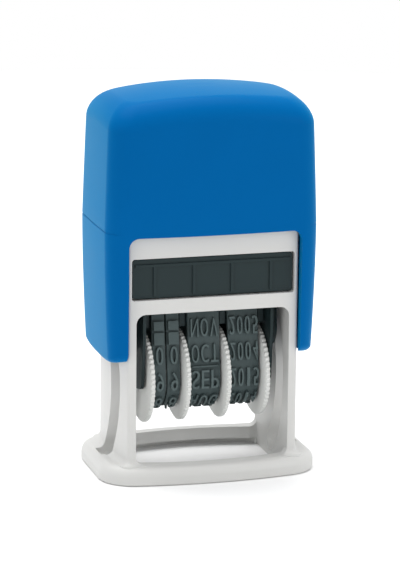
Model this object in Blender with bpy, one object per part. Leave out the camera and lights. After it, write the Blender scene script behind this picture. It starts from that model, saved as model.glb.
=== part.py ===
"""Self-inking date stamp: a capped press frame with a date unit that turns over as it is pressed.

Metres, +X right, +Y back, +Z up. The origin is under the middle of the base ring, on the paper.
At rest the letters face up against the ink felt. Pressing the cap carries the date unit down,
and two cranks whose pins run in curved slots turn it over, so that the letters meet the paper.
"""

from math import acos, atan2, ceil, copysign, cos, hypot, pi, sin

import bmesh
import bpy
from mathutils import Vector

MM = 0.001

# Clearances shared by all pieces
GAP = 0.3 * MM
OVERRUN = 1.0 * MM
WELD = 0.4 * MM

# Stamping motion: the date unit's reach from its pivot to the letters' faces, and its cam pins
HEAD_HEIGHT = 9.55 * MM
CAM_THROW = 5.7 * MM
LETTER_HEIGHT = 0.5 * MM

# Frame: base ring
BASE_HALF_WIDTH = 23.4 * MM
BASE_HALF_DEPTH = 15.9 * MM
BASE_BOW = 2.7 * MM
BASE_CORNER = 6.0 * MM
BASE_HEIGHT = 3.9 * MM
BASE_TOP_ROUND = 2.1 * MM
BASE_FOOT_EDGE = 0.3 * MM
BASE_HOLE_HALF_DEPTH = 12.0 * MM
BASE_HOLE_BOW = 2.2 * MM
BASE_HOLE_CORNER = 1.7 * MM
BASE_POCKET_REACH = 1.9 * MM
BASE_POCKET_DEPTH = 1.0 * MM
BASE_RIM = 1.7 * MM
BASE_RECESS_DEPTH = 1.3 * MM

# Frame: tower
ROOF_UNDERSIDE = 48.3 * MM
ROOF_THICKNESS = 1.6 * MM
FRAME_RIM_RISE = 7.2 * MM
FRAME_HALF_DEPTH = 11.9 * MM
FRAME_CORNER = 0.5 * MM
FRAME_SIDE_BOW = 1.5 * MM
FRAME_INNER_CORNER = 0.5 * MM
SIDE_WALL = 1.75 * MM
FACE_WALL = 1.7 * MM
FOOT_FLARE = 1.3 * MM
CARTRIDGE_ROOM = 9.2 * MM
SILL_HEIGHT = 3.0 * MM
OPENING_TOP_ROUND = 2.0 * MM
OPENING_FOOT_ROUND = 1.7 * MM
WINDOW_JAMB = 0.75 * MM
WINDOW_HEAD = 0.4 * MM
WINDOW_CORNER = 0.6 * MM
SPRING_POST_RADIUS = 3.8 * MM
SPRING_POST_HEIGHT = 4.4 * MM
LEDGE_END_SPACE = 2.2 * MM
LEDGE_REACH = 1.6 * MM
LEDGE_THICKNESS = 1.6 * MM

# Frame: cam slot
CAM_PIN_RADIUS = 2.1 * MM
CAM_SLOT_CLEARANCE = 0.4 * MM

# Cap: the frame passes up into it with room at the sides, and it stops short of the base
CAP_HALF_WIDTH = 22.9 * MM
CAP_HALF_DEPTH = 14.5 * MM
CAP_SIDE_ROOM = 4.65 * MM
CAP_HEADROOM = 6.2 * MM
CAP_FOOT_ROOM = 7.9 * MM
CAP_FOOT_DROP = 2.4 * MM
CAP_BOW = 1.2 * MM
CAP_CORNER = 5.6 * MM
CAP_WALL = 1.5 * MM
CAP_TOP_ROUND = 4.6 * MM
CAP_DOME_DROP = 1.9 * MM
CAP_LIP_ROUND = 1.2 * MM
CAP_SIDE_TOP_TAPER = 0.9 * MM
CAP_SIDE_FOOT_TAPER = 0.8 * MM
CAP_FACE_TOP_TAPER = 0.4 * MM
CAP_FACE_FOOT_TAPER = 0.2 * MM
CAP_SEAM_RISE = 0.8 * MM
CAP_SEAM_DEPTH = 0.25 * MM
CAP_SEAM_WIDTH = 0.5 * MM
NOTCH_RISE = 4.4 * MM
NOTCH_ROUND = 2.2 * MM
GUIDE_RIB_THICKNESS = 0.9 * MM
GUIDE_RIB_INSET = 0.5 * MM
GUIDE_RIB_FOOT = 3.7 * MM
BOSS_RADIUS = 4.2 * MM

# Cap bridge
BRIDGE_DROP = 4.1 * MM
BRIDGE_PLATE = 1.5 * MM
BRIDGE_ARM_HALF_DEPTH = 3.6 * MM
BRIDGE_PLATE_HALF_DEPTH = 6.6 * MM

# Side plates inside the frame, from the inside out
SIDE_PLATE = 0.7 * MM

# Setting wheels
WHEEL_RADIUS = 10.0 * MM
WHEEL_THICKNESS = 1.25 * MM
WHEEL_TEETH = 60
WHEEL_TOOTH_DEPTH = 0.45 * MM
WHEEL_FACE_DISH = 0.25 * MM
WHEEL_RIM_WIDTH = 1.3 * MM
WHEEL_END_SPACE = 0.45 * MM
ONES_WHEEL_SHARE = 0.3889
MONTH_WHEEL_SHARE = 0.2593
AXLE_RADIUS = 1.5 * MM
AXLE_DROP = 9.5 * MM
AXLE_END_CHAMFER = 0.3 * MM

# Date bands
BAND_RADIUS = 7.0 * MM
BAND_THICKNESS = 1.0 * MM
HEAD_HALF_DEPTH = 4.6 * MM
HEAD_CORNER = 1.4 * MM

# Band carrier and the cushions under the letters
CUSHION_THICKNESS = 1.5 * MM
CARRIER_BLOCK_HEIGHT = 4.4 * MM
CHEEK_HALF_DEPTH = 8.4 * MM
CHEEK_SHOULDER_RISE = 10.0 * MM
CHEEK_FOOT_HALF_DEPTH = 7.3 * MM
CHEEK_FOOT_CORNER = 1.9 * MM
CHEEK_FOOT_RISE = 0.35 * MM
CHEEK_BOSS_RADIUS = 2.6 * MM
TRUNNION_RADIUS = 1.9 * MM
KEY_HALF_WIDTH = 1.1 * MM

# Flip cranks
CRANK_EYE_RADIUS = 4.4 * MM
CRANK_PIN_EYE_RADIUS = 3.6 * MM
CRANK_PIN_REACH = 2.9 * MM

# Ink cartridge: the ribs' places are shares of the front plate's half width
TRAY_FRONT_SETBACK = 0.7 * MM
TRAY_FRONT_THICKNESS = 1.0 * MM
TRAY_FRONT_CORNER = 0.5 * MM
TRAY_RIB_SHARES = (-0.727, -0.238, 0.238, 0.727)
TRAY_RIB_HALF_WIDTH = 0.3 * MM
TRAY_RIB_RISE = 0.35 * MM
TRAY_LIP_DROP = 1.3 * MM
TRAY_LIP_THICKNESS = 0.6 * MM
TRAY_WALL = 1.0 * MM
TRAY_CORNER = 0.8 * MM
FELT_THICKNESS = 3.0 * MM

# Return spring
SPRING_WIRE_RADIUS = 0.4 * MM
SPRING_COIL_RADIUS = 5.3 * MM
SPRING_TURNS = 5.5
SPRING_POINTS_PER_TURN = 12

# Facets on round shapes
ROUND_STEPS = 32
CORNER_STEPS = 5

# Heights that follow from the sizes above
SILL_TOP = ROOF_UNDERSIDE - CARTRIDGE_ROOM
OPENING_TOP = SILL_TOP - SILL_HEIGHT
WINDOW_TOP = ROOF_UNDERSIDE - WINDOW_HEAD
ROOF_TOP = ROOF_UNDERSIDE + ROOF_THICKNESS
FRAME_TOP = ROOF_UNDERSIDE + FRAME_RIM_RISE
FELT_FACE = SILL_TOP + GAP
PRINT_Z = FELT_FACE - GAP
STROKE = PRINT_Z - 2 * HEAD_HEIGHT
PIVOT_Z = PRINT_Z - HEAD_HEIGHT
AXLE_Z = PIVOT_Z - AXLE_DROP
CAP_BOTTOM = STROKE + CAP_FOOT_ROOM
NOTCH_TOP = ROOF_UNDERSIDE + NOTCH_RISE
CAP_GIRTH_Z = NOTCH_TOP + CAP_SEAM_RISE
CAP_TOP = FRAME_TOP + STROKE + CAP_HEADROOM
BRIDGE_TOP = CAP_TOP - BRIDGE_DROP

# Other places that follow from the sizes above
FRAME_HALF_WIDTH = CAP_HALF_WIDTH - CAP_SIDE_ROOM
NOTCH_HALF_WIDTH = FRAME_HALF_WIDTH + GAP
CAP_CUT_FOOT = CAP_BOTTOM - CAP_FOOT_DROP - OVERRUN
WINDOW_HALF_WIDTH = FRAME_HALF_WIDTH - WINDOW_JAMB
SLOT_HALF_WIDTH = CAM_PIN_RADIUS + CAM_SLOT_CLEARANCE
INNER_HALF_WIDTH = FRAME_HALF_WIDTH - SIDE_WALL
INNER_HALF_DEPTH = FRAME_HALF_DEPTH - FACE_WALL
SIDE_FACE = FRAME_HALF_WIDTH + FRAME_SIDE_BOW
CRANK_OUTER = INNER_HALF_WIDTH - GAP
CRANK_INNER = CRANK_OUTER - SIDE_PLATE
ARM_OUTER = CRANK_INNER - GAP
ARM_INNER = ARM_OUTER - SIDE_PLATE
CHEEK_OUTER = ARM_INNER - GAP
CHEEK_INNER = CHEEK_OUTER - SIDE_PLATE
BRIDGE_UNDERSIDE = BRIDGE_TOP - BRIDGE_PLATE
BAND_TOP = PRINT_Z - LETTER_HEIGHT
BAND_UNDERSIDE = BAND_TOP - BAND_THICKNESS
CUSHION_TOP = BAND_UNDERSIDE - GAP
CUSHION_UNDERSIDE = CUSHION_TOP - CUSHION_THICKNESS
BLOCK_TOP = CUSHION_UNDERSIDE - GAP
BLOCK_HALF_DEPTH = HEAD_HALF_DEPTH - BAND_THICKNESS - GAP
DRUM_RADIUS = BAND_RADIUS - BAND_THICKNESS - GAP
WHEEL_OUTER_FACES = {
    "tens": WHEEL_END_SPACE - CHEEK_INNER,
    "ones": -ONES_WHEEL_SHARE * CHEEK_INNER,
    "month": MONTH_WHEEL_SHARE * CHEEK_INNER,
    "year": CHEEK_INNER - GAP - WHEEL_THICKNESS,
}
TRAY_HALF_WIDTH = CHEEK_OUTER
TRAY_FRONT_HALF_WIDTH = WINDOW_HALF_WIDTH - GAP
LEDGE_HALF_WIDTH = TRAY_HALF_WIDTH - LEDGE_END_SPACE
TRAY_FRONT_FACE = -FRAME_HALF_DEPTH + TRAY_FRONT_SETBACK
TRAY_FRONT_BACK = TRAY_FRONT_FACE + TRAY_FRONT_THICKNESS
TRAY_REAR = INNER_HALF_DEPTH - GAP
FELT_TOP = FELT_FACE + FELT_THICKNESS
TRAY_DECK_UNDERSIDE = FELT_TOP + GAP
TRAY_TOP = TRAY_DECK_UNDERSIDE + TRAY_WALL


def clear_scene():
    """Remove what the scene holds before the model is made."""
    for obj in list(bpy.data.objects):
        bpy.data.objects.remove(obj, do_unlink=True)


def make_material(name, colour, roughness, metallic=0.0):
    """A Principled material for one finish of the stamp."""
    material = bpy.data.materials.new(name)
    material.use_nodes = True
    shader = material.node_tree.nodes["Principled BSDF"]
    shader.inputs["Base Color"].default_value = (*colour, 1.0)
    shader.inputs["Roughness"].default_value = roughness
    shader.inputs["Metallic"].default_value = metallic
    return material


def make_object(name, bm, material=None):
    """Turn a bmesh into a named object, with its faces pointing out."""
    bmesh.ops.recalc_face_normals(bm, faces=bm.faces)
    mesh = bpy.data.meshes.new(name)
    bm.to_mesh(mesh)
    bm.free()
    obj = bpy.data.objects.new(name, mesh)
    bpy.context.scene.collection.objects.link(obj)
    if material:
        mesh.materials.append(material)
        mesh.shade_smooth()
        mesh.set_sharp_from_angle(angle=pi / 6)
    return obj


def combine(target, operation, bm, label):
    """Join a shape to an object or cut it away, with the tool kept as a hidden wire guide."""
    tool = make_object(f"{target.name}.{label}", bm)
    tool.hide_render = True
    tool.display_type = "WIRE"
    modifier = target.modifiers.new(label, "BOOLEAN")
    modifier.operation = operation
    modifier.solver = "EXACT"
    modifier.object = tool
    return tool


def move_origin(obj, place):
    """Put a moving piece's origin on its joint's axis without moving the piece."""
    shift = Vector(place)
    obj.data.transform(obj.matrix_world.Translation(-shift))
    obj.location = shift


# Outlines


def arc(centre_a, centre_b, radius, start, end, steps):
    """Points along an arc, both ends included."""
    points = []
    for step in range(steps + 1):
        angle = start + (end - start) * step / steps
        points.append((centre_a + radius * cos(angle), centre_b + radius * sin(angle)))
    return points


def circle(centre_a, centre_b, radius, steps=ROUND_STEPS):
    """Points around a full circle."""
    return arc(centre_a, centre_b, radius, 0, 2 * pi, steps)[:-1]


def rectangle(low_a, high_a, low_b, high_b):
    """The corners of a plain rectangle."""
    return [(low_a, low_b), (high_a, low_b), (high_a, high_b), (low_a, high_b)]


def rounded_rectangle(low_a, high_a, low_b, high_b, foot_round, top_round, steps=CORNER_STEPS):
    """A rectangle whose two lower and two upper corners have their own radii."""
    points = arc(high_a - top_round, high_b - top_round, top_round, 0, pi / 2, steps)
    points += arc(low_a + top_round, high_b - top_round, top_round, pi / 2, pi, steps)
    points += arc(low_a + foot_round, low_b + foot_round, foot_round, pi, 3 * pi / 2, steps)
    points += arc(high_a - foot_round, low_b + foot_round, foot_round, 3 * pi / 2, 2 * pi, steps)
    return points


def bowed_outline(half_width, half_depth, corner, bow, corner_steps=6, side_steps=8):
    """A rounded rectangle in plan whose front and back swell by the bow at the middle."""
    straight = half_depth - bow
    points = []
    for quarter in range(4):
        side_x = 1 if quarter in (0, 3) else -1
        side_y = 1 if quarter in (0, 1) else -1
        points += arc(
            side_x * (half_width - corner),
            side_y * (straight - corner),
            corner,
            quarter * pi / 2,
            (quarter + 1) * pi / 2,
            corner_steps,
        )
        if quarter in (0, 2):
            start_x = side_x * (half_width - corner)
            for step in range(1, side_steps):
                points.append((start_x * (1 - 2 * step / side_steps), side_y * straight))
    swollen = []
    for x, y in points:
        side = 1 if y > 0 else -1
        swollen.append((x, y + side * bow * (1 - (x / half_width) ** 2)))
    return swollen


# Solids


def skin(bm, rings, close_ends=True):
    """Bridge rings of equal count into a closed wall, with a face over each end."""
    loops = [[bm.verts.new(point) for point in ring] for ring in rings]
    count = len(loops[0])
    for lower, upper in zip(loops, loops[1:]):
        for index in range(count):
            after = (index + 1) % count
            bm.faces.new((lower[index], lower[after], upper[after], upper[index]))
    if close_ends:
        bm.faces.new(list(reversed(loops[0])))
        bm.faces.new(loops[-1])
    return loops


def prism_x(outline, low, high):
    """Extrude an outline of (y, z) points along X."""
    bm = bmesh.new()
    skin(bm, [[(low, y, z) for y, z in outline], [(high, y, z) for y, z in outline]])
    return bm


def prism_y(outline, low, high):
    """Extrude an outline of (x, z) points along Y."""
    bm = bmesh.new()
    skin(bm, [[(x, low, z) for x, z in outline], [(x, high, z) for x, z in outline]])
    return bm


def prism_z(outline, low, high):
    """Extrude an outline of (x, y) points along Z."""
    bm = bmesh.new()
    skin(bm, [[(x, y, low) for x, y in outline], [(x, y, high) for x, y in outline]])
    return bm


def stack_z(outlines):
    """Loft plan outlines, each given with its height."""
    bm = bmesh.new()
    skin(bm, [[(x, y, z) for x, y in outline] for z, outline in outlines])
    return bm


def tube_x(outer, inner, low, high):
    """A closed band along X between an outer and an inner outline of equal count."""
    bm = bmesh.new()
    rings = []
    for x, outline in ((low, outer), (high, outer), (high, inner), (low, inner)):
        rings.append([(x, y, z) for y, z in outline])
    rings.append(rings[0])
    loops = skin(bm, rings, close_ends=False)
    bmesh.ops.weld_verts(bm, targetmap=dict(zip(loops[-1], loops[0])))
    return bm


def turned_x(profile, centre_z, steps=ROUND_STEPS):
    """Revolve a closed (x, radius) profile about an axis along X."""
    bm = bmesh.new()
    loops = []
    for step in range(steps):
        angle = 2 * pi * step / steps
        ring = []
        for x, radius in profile:
            ring.append(bm.verts.new((x, radius * cos(angle), centre_z + radius * sin(angle))))
        loops.append(ring)
    for index, ring in enumerate(loops):
        following = loops[(index + 1) % steps]
        for point in range(len(profile)):
            after = (point + 1) % len(profile)
            bm.faces.new((ring[point], ring[after], following[after], following[point]))
    return bm


# The cam path


def pin_place(travel):
    """Where the cam pin's centre is, in (y, z), when the cap has gone down by the travel."""
    turn = pi * travel / STROKE
    return -CAM_THROW * sin(turn), PIVOT_Z - travel + CAM_THROW * cos(turn)


def pin_heading(travel):
    """The direction in which the cam pin's centre moves, as an angle in the (y, z) plane."""
    turn = pi * travel / STROKE
    rate = pi * CAM_THROW / STROKE
    return atan2(-1 - rate * sin(turn), -rate * cos(turn))


def beside_path(reach, side, steps=20):
    """Points at a reach from the pin's path, top to bottom: side -1 in front, +1 behind."""
    points = []
    for step in range(steps + 1):
        travel = STROKE * step / steps
        y, z = pin_place(travel)
        angle = pin_heading(travel) + side * pi / 2
        points.append((y + reach * cos(angle), z + reach * sin(angle)))
    return points


def cam_outline(reach):
    """The closed outline at a constant reach from the pin's path, with round ends."""
    low = pin_heading(STROKE)
    high = pin_heading(0)
    foot = arc(*pin_place(STROKE), reach, low - pi / 2, low + pi / 2, 2 * CORNER_STEPS)
    crown = arc(*pin_place(0), reach, high + pi / 2, high + 3 * pi / 2, 2 * CORNER_STEPS)
    return beside_path(reach, -1) + foot[1:-1] + beside_path(reach, 1)[::-1] + crown[1:-1]


# Frame


def base_ring():
    """The base ring before its hole is cut: a bowed plate with a rounded upper edge."""
    levels = [(0.0, BASE_FOOT_EDGE), (BASE_FOOT_EDGE, 0.0)]
    for step in range(CORNER_STEPS + 1):
        angle = pi / 2 * step / CORNER_STEPS
        height = BASE_HEIGHT - BASE_TOP_ROUND + BASE_TOP_ROUND * sin(angle)
        levels.append((height, BASE_TOP_ROUND * (1 - cos(angle))))
    outlines = []
    for height, inset in levels:
        outline = bowed_outline(
            BASE_HALF_WIDTH - inset, BASE_HALF_DEPTH - inset, BASE_CORNER - inset, BASE_BOW
        )
        outlines.append((height, outline))
    return stack_z(outlines)


def frame_plan(grow):
    """The upright part's outline in plan, grown all round: its side walls bow outward."""
    outline = bowed_outline(
        FRAME_HALF_DEPTH + grow, SIDE_FACE + grow, FRAME_CORNER + grow, FRAME_SIDE_BOW
    )
    return [(x, y) for y, x in outline]


def tower_outside():
    """The upright part's outer form, flared where it grows out of the base."""
    levels = [(BASE_HEIGHT - WELD, FOOT_FLARE)]
    for step in range(CORNER_STEPS + 1):
        angle = pi / 2 * step / CORNER_STEPS
        levels.append((BASE_HEIGHT + FOOT_FLARE * (1 - cos(angle)), FOOT_FLARE * (1 - sin(angle))))
    levels.append((FRAME_TOP, 0.0))
    return stack_z([(height, frame_plan(grow)) for height, grow in levels])


def make_frame(material):
    """Base ring, upright walls, crossbars, spring deck, cam slots: one light grey moulding."""
    frame = make_object("frame", base_ring(), material)
    combine(frame, "UNION", tower_outside(), "tower")

    corner = FRAME_INNER_CORNER
    inside = rounded_rectangle(
        -INNER_HALF_WIDTH, INNER_HALF_WIDTH, -INNER_HALF_DEPTH, INNER_HALF_DEPTH, corner, corner
    )
    combine(frame, "DIFFERENCE", prism_z(inside, -OVERRUN, ROOF_UNDERSIDE), "mechanism_space")
    combine(frame, "DIFFERENCE", prism_z(inside, ROOF_TOP, FRAME_TOP + OVERRUN), "spring_space")
    hole = bowed_outline(
        INNER_HALF_WIDTH, BASE_HOLE_HALF_DEPTH, BASE_HOLE_CORNER, BASE_HOLE_BOW
    )
    combine(frame, "DIFFERENCE", prism_z(hole, -OVERRUN, BASE_HEIGHT + OVERRUN), "print_hole")
    recess = bowed_outline(
        INNER_HALF_WIDTH - WELD, BASE_HALF_DEPTH - BASE_RIM, BASE_HOLE_CORNER, BASE_BOW
    )
    combine(frame, "DIFFERENCE", prism_z(recess, -OVERRUN, BASE_RECESS_DEPTH), "base_recess")
    opening = rounded_rectangle(
        -INNER_HALF_WIDTH, INNER_HALF_WIDTH, BASE_HEIGHT, OPENING_TOP,
        OPENING_FOOT_ROUND, OPENING_TOP_ROUND,
    )
    reach = FRAME_HALF_DEPTH + FOOT_FLARE + OVERRUN
    combine(frame, "DIFFERENCE", prism_y(opening, -reach, reach), "front_and_back_opening")
    window = rounded_rectangle(
        -WINDOW_HALF_WIDTH, WINDOW_HALF_WIDTH, SILL_TOP, WINDOW_TOP, WINDOW_CORNER, WINDOW_CORNER
    )
    window_cut = prism_y(window, -FRAME_HALF_DEPTH - OVERRUN, TRAY_FRONT_BACK + GAP)
    combine(frame, "DIFFERENCE", window_cut, "cartridge_window")

    for side, label in ((-1, "left"), (1, "right")):
        inner = side * (INNER_HALF_WIDTH - OVERRUN)
        outer = side * (SIDE_FACE + OVERRUN)
        slot = prism_x(cam_outline(SLOT_HALF_WIDTH), min(inner, outer), max(inner, outer))
        combine(frame, "DIFFERENCE", slot, f"{label}_cam_slot")
        inner = side * (INNER_HALF_WIDTH + SIDE_WALL / 2)
        outer = side * (SIDE_FACE + BASE_POCKET_REACH)
        pocket = rectangle(
            -SLOT_HALF_WIDTH, SLOT_HALF_WIDTH, BASE_HEIGHT - BASE_POCKET_DEPTH, BASE_HEIGHT + GAP
        )
        combine(
            frame, "DIFFERENCE", prism_x(pocket, min(inner, outer), max(inner, outer)),
            f"{label}_base_pocket",
        )
        inner = side * (ARM_INNER - GAP)
        outer = side * (ARM_OUTER + GAP)
        arm_slot = rectangle(
            min(inner, outer), max(inner, outer),
            -BRIDGE_ARM_HALF_DEPTH - GAP, BRIDGE_ARM_HALF_DEPTH + GAP,
        )
        combine(
            frame, "DIFFERENCE", prism_z(arm_slot, ROOF_UNDERSIDE - OVERRUN, ROOF_TOP + OVERRUN),
            f"{label}_arm_slot",
        )

    post = circle(0, 0, SPRING_POST_RADIUS)
    combine(
        frame, "UNION", prism_z(post, ROOF_TOP - WELD, ROOF_TOP + SPRING_POST_HEIGHT), "spring_post"
    )
    ledge = rectangle(
        INNER_HALF_DEPTH - LEDGE_REACH, INNER_HALF_DEPTH + WELD, SILL_TOP - LEDGE_THICKNESS, SILL_TOP
    )
    combine(frame, "UNION", prism_x(ledge, -LEDGE_HALF_WIDTH, LEDGE_HALF_WIDTH), "tray_ledge")
    return frame


# Cap


def cap_taper(height):
    """How far the cap's sides and faces have drawn in at a height, from the girth up and down."""
    if height > CAP_GIRTH_Z:
        share = (height - CAP_GIRTH_Z) / (CAP_TOP - CAP_GIRTH_Z)
        return CAP_SIDE_TOP_TAPER * share, CAP_FACE_TOP_TAPER * share
    share = ((CAP_GIRTH_Z - height) / (CAP_GIRTH_Z - CAP_BOTTOM)) ** 2
    return CAP_SIDE_FOOT_TAPER * share, CAP_FACE_FOOT_TAPER * share


def domed(x, y, z, weight):
    """Lower a point of the cap's top by the shallow dome."""
    across = (x / CAP_HALF_WIDTH) ** 2
    deep = (y / CAP_HALF_DEPTH) ** 2
    return x, y, z - weight * CAP_DOME_DROP * (across + deep / 2)


def foot_dipped(x, y, z, weight):
    """Lower a point of the cap's foot: its sides dip towards the middle of the depth."""
    return x, y, z - weight * CAP_FOOT_DROP * (1 - (y / CAP_HALF_DEPTH) ** 2)


def cap_section(height, inset, dome_share, seam, dip_share=0):
    """One ring of the cap's form; the seam draws in only the points on the sides."""
    side_taper, face_taper = cap_taper(height)
    outline = bowed_outline(
        CAP_HALF_WIDTH - inset - side_taper,
        CAP_HALF_DEPTH - inset - face_taper,
        max(CAP_CORNER - inset / 2, GAP),
        CAP_BOW,
    )
    ring = []
    for x, y in outline:
        if abs(x) > NOTCH_HALF_WIDTH + CAP_WALL:
            x -= copysign(seam, x)
        ring.append(foot_dipped(*domed(x, y, height, dome_share), dip_share))
    return ring


def cap_shell(wall, bottom, lip, seam):
    """The cap's closed outer or inner form, from the open foot to the middle of the top."""
    top = CAP_TOP - wall
    top_round = CAP_TOP_ROUND - wall / 2
    edge_z = top - top_round
    rings = []
    for step in range(CORNER_STEPS if lip else 0):
        angle = pi / 2 * step / CORNER_STEPS
        height = bottom + lip * (1 - cos(angle))
        rings.append(cap_section(height, wall + lip * (1 - sin(angle)), 0, 0, 1))
    rings.append(cap_section(bottom + lip, wall, 0, 0, 1))
    seam_edge = CAP_SEAM_WIDTH / 2
    for height, depth in (
        ((bottom + lip + CAP_GIRTH_Z) / 2, 0),
        (CAP_GIRTH_Z - seam_edge, 0),
        (CAP_GIRTH_Z, seam),
        (CAP_GIRTH_Z + seam_edge, 0),
        ((CAP_GIRTH_Z + edge_z) / 2, 0),
        (edge_z - CAP_TOP_ROUND / 2, 0),
    ):
        rings.append(cap_section(height, wall, 0, depth))
    round_steps = CORNER_STEPS + 1
    for step in range(round_steps + 1):
        angle = pi / 2 * step / round_steps
        height = edge_z + top_round * sin(angle)
        rings.append(cap_section(height, wall + top_round * (1 - cos(angle)), 1, 0))
    rim = rings[-1]
    shrink_shares = (0.75, 0.5, 0.25)
    for share in shrink_shares:
        rings.append([domed(x * share, y * share, top, 1) for x, y, z in rim])
    bm = bmesh.new()
    skin(bm, rings)
    return bm


def leave_cap_ribs(hollow_tool):
    """Take the guide ribs and the bridge's boss out of the hollow, so that they stay on the cap."""
    rib_low = CAP_BOTTOM + GUIDE_RIB_FOOT
    rib_high = CAP_TOP - CAP_TOP_ROUND
    rib_inner = FRAME_HALF_WIDTH + GAP
    near = FRAME_HALF_DEPTH - GUIDE_RIB_INSET - GUIDE_RIB_THICKNESS
    far = near + GUIDE_RIB_THICKNESS
    for side_x, label_x in ((-1, "left"), (1, "right")):
        for side_y, label_y in ((-1, "front"), (1, "back")):
            plan = rectangle(
                min(side_x * rib_inner, side_x * CAP_HALF_WIDTH),
                max(side_x * rib_inner, side_x * CAP_HALF_WIDTH),
                min(side_y * near, side_y * far), max(side_y * near, side_y * far),
            )
            rib = prism_z(plan, rib_low, rib_high)
            combine(hollow_tool, "DIFFERENCE", rib, f"{label_x}_{label_y}_rib")
    boss = prism_z(circle(0, 0, BOSS_RADIUS), BRIDGE_TOP + GAP, CAP_TOP)
    combine(hollow_tool, "DIFFERENCE", boss, "bridge_boss")


def make_cap(material):
    """The blue press cap: one tapered shell with notches front and back, ribs and a boss."""
    cap = make_object("cap", cap_shell(0, CAP_BOTTOM, CAP_LIP_ROUND, CAP_SEAM_DEPTH), material)
    hollow = cap_shell(CAP_WALL, CAP_BOTTOM - OVERRUN, 0, 0)
    hollow_tool = combine(cap, "DIFFERENCE", hollow, "hollow")
    leave_cap_ribs(hollow_tool)
    passage = prism_z(frame_plan(GAP), CAP_CUT_FOOT, FRAME_TOP + STROKE + GAP)
    combine(cap, "DIFFERENCE", passage, "frame_passage")
    notch = rounded_rectangle(
        -NOTCH_HALF_WIDTH, NOTCH_HALF_WIDTH, CAP_CUT_FOOT - OVERRUN, NOTCH_TOP, GAP, NOTCH_ROUND
    )
    reach = CAP_HALF_DEPTH + OVERRUN
    combine(cap, "DIFFERENCE", prism_y(notch, -reach, reach), "front_and_back_notch")
    return cap


def make_bridge(material):
    """The stirrup fixed under the cap's top, whose two arms carry the date unit."""
    plate = rectangle(
        -ARM_OUTER, ARM_OUTER, -BRIDGE_PLATE_HALF_DEPTH, BRIDGE_PLATE_HALF_DEPTH
    )
    bridge = make_object("cap_bridge", prism_z(plate, BRIDGE_UNDERSIDE, BRIDGE_TOP), material)
    half = BRIDGE_ARM_HALF_DEPTH
    arm = arc(0, PIVOT_Z, half, pi, 2 * pi, 2 * CORNER_STEPS)
    arm += [(half, BRIDGE_TOP - WELD), (-half, BRIDGE_TOP - WELD)]
    for side, label in ((-1, "left"), (1, "right")):
        low = min(side * ARM_INNER, side * ARM_OUTER)
        high = max(side * ARM_INNER, side * ARM_OUTER)
        combine(bridge, "UNION", prism_x(arm, low, high), f"{label}_arm")
    eye = circle(0, PIVOT_Z, TRUNNION_RADIUS + GAP)
    combine(bridge, "DIFFERENCE", prism_x(eye, -INNER_HALF_WIDTH, INNER_HALF_WIDTH), "pivot_eyes")
    return bridge


# Date unit


def band_outline(inset):
    """The loop of a band in (y, z), drawn tight round the drum and over the print head."""
    drum = BAND_RADIUS - inset
    corner = HEAD_CORNER - inset
    corner_y = HEAD_HALF_DEPTH - HEAD_CORNER
    corner_z = BAND_TOP - HEAD_CORNER
    rise = corner_z - AXLE_Z
    lean = atan2(rise, corner_y) - acos((drum - corner) / hypot(rise, corner_y))
    outline = arc(0, AXLE_Z, drum, pi - lean, 2 * pi + lean, 3 * CORNER_STEPS)
    outline += arc(corner_y, corner_z, corner, lean, pi / 2, CORNER_STEPS)
    outline += arc(-corner_y, corner_z, corner, pi / 2, pi - lean, CORNER_STEPS)
    return outline


def band_spans():
    """The x limits of each band, packed between the setting wheels."""
    faces = WHEEL_OUTER_FACES
    day_low = faces["tens"] + WHEEL_THICKNESS + GAP
    day_high = faces["ones"] - GAP
    day_width = (day_high - day_low - GAP) / 2
    return {
        "tens": (day_low, day_low + day_width),
        "ones": (day_high - day_width, day_high),
        "month": (faces["ones"] + WHEEL_THICKNESS + GAP, faces["month"] - GAP),
        "year": (faces["month"] + WHEEL_THICKNESS + GAP, faces["year"] - GAP),
    }


def make_bands(material):
    """The four rubber date bands."""
    for name, (low, high) in band_spans().items():
        outer = band_outline(0)
        inner = band_outline(BAND_THICKNESS)
        band = make_object(f"{name}_band", tube_x(outer, inner, low, high), material)
        move_origin(band, (0, 0, PIVOT_Z))


def serrated_outline(outer, root, centre_z):
    """The toothed rim of a setting wheel."""
    outline = []
    for tooth in range(WHEEL_TEETH):
        for half, radius in enumerate((outer, root)):
            angle = 2 * pi * (tooth + half / 2) / WHEEL_TEETH
            outline.append((radius * cos(angle), centre_z + radius * sin(angle)))
    return outline


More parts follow.
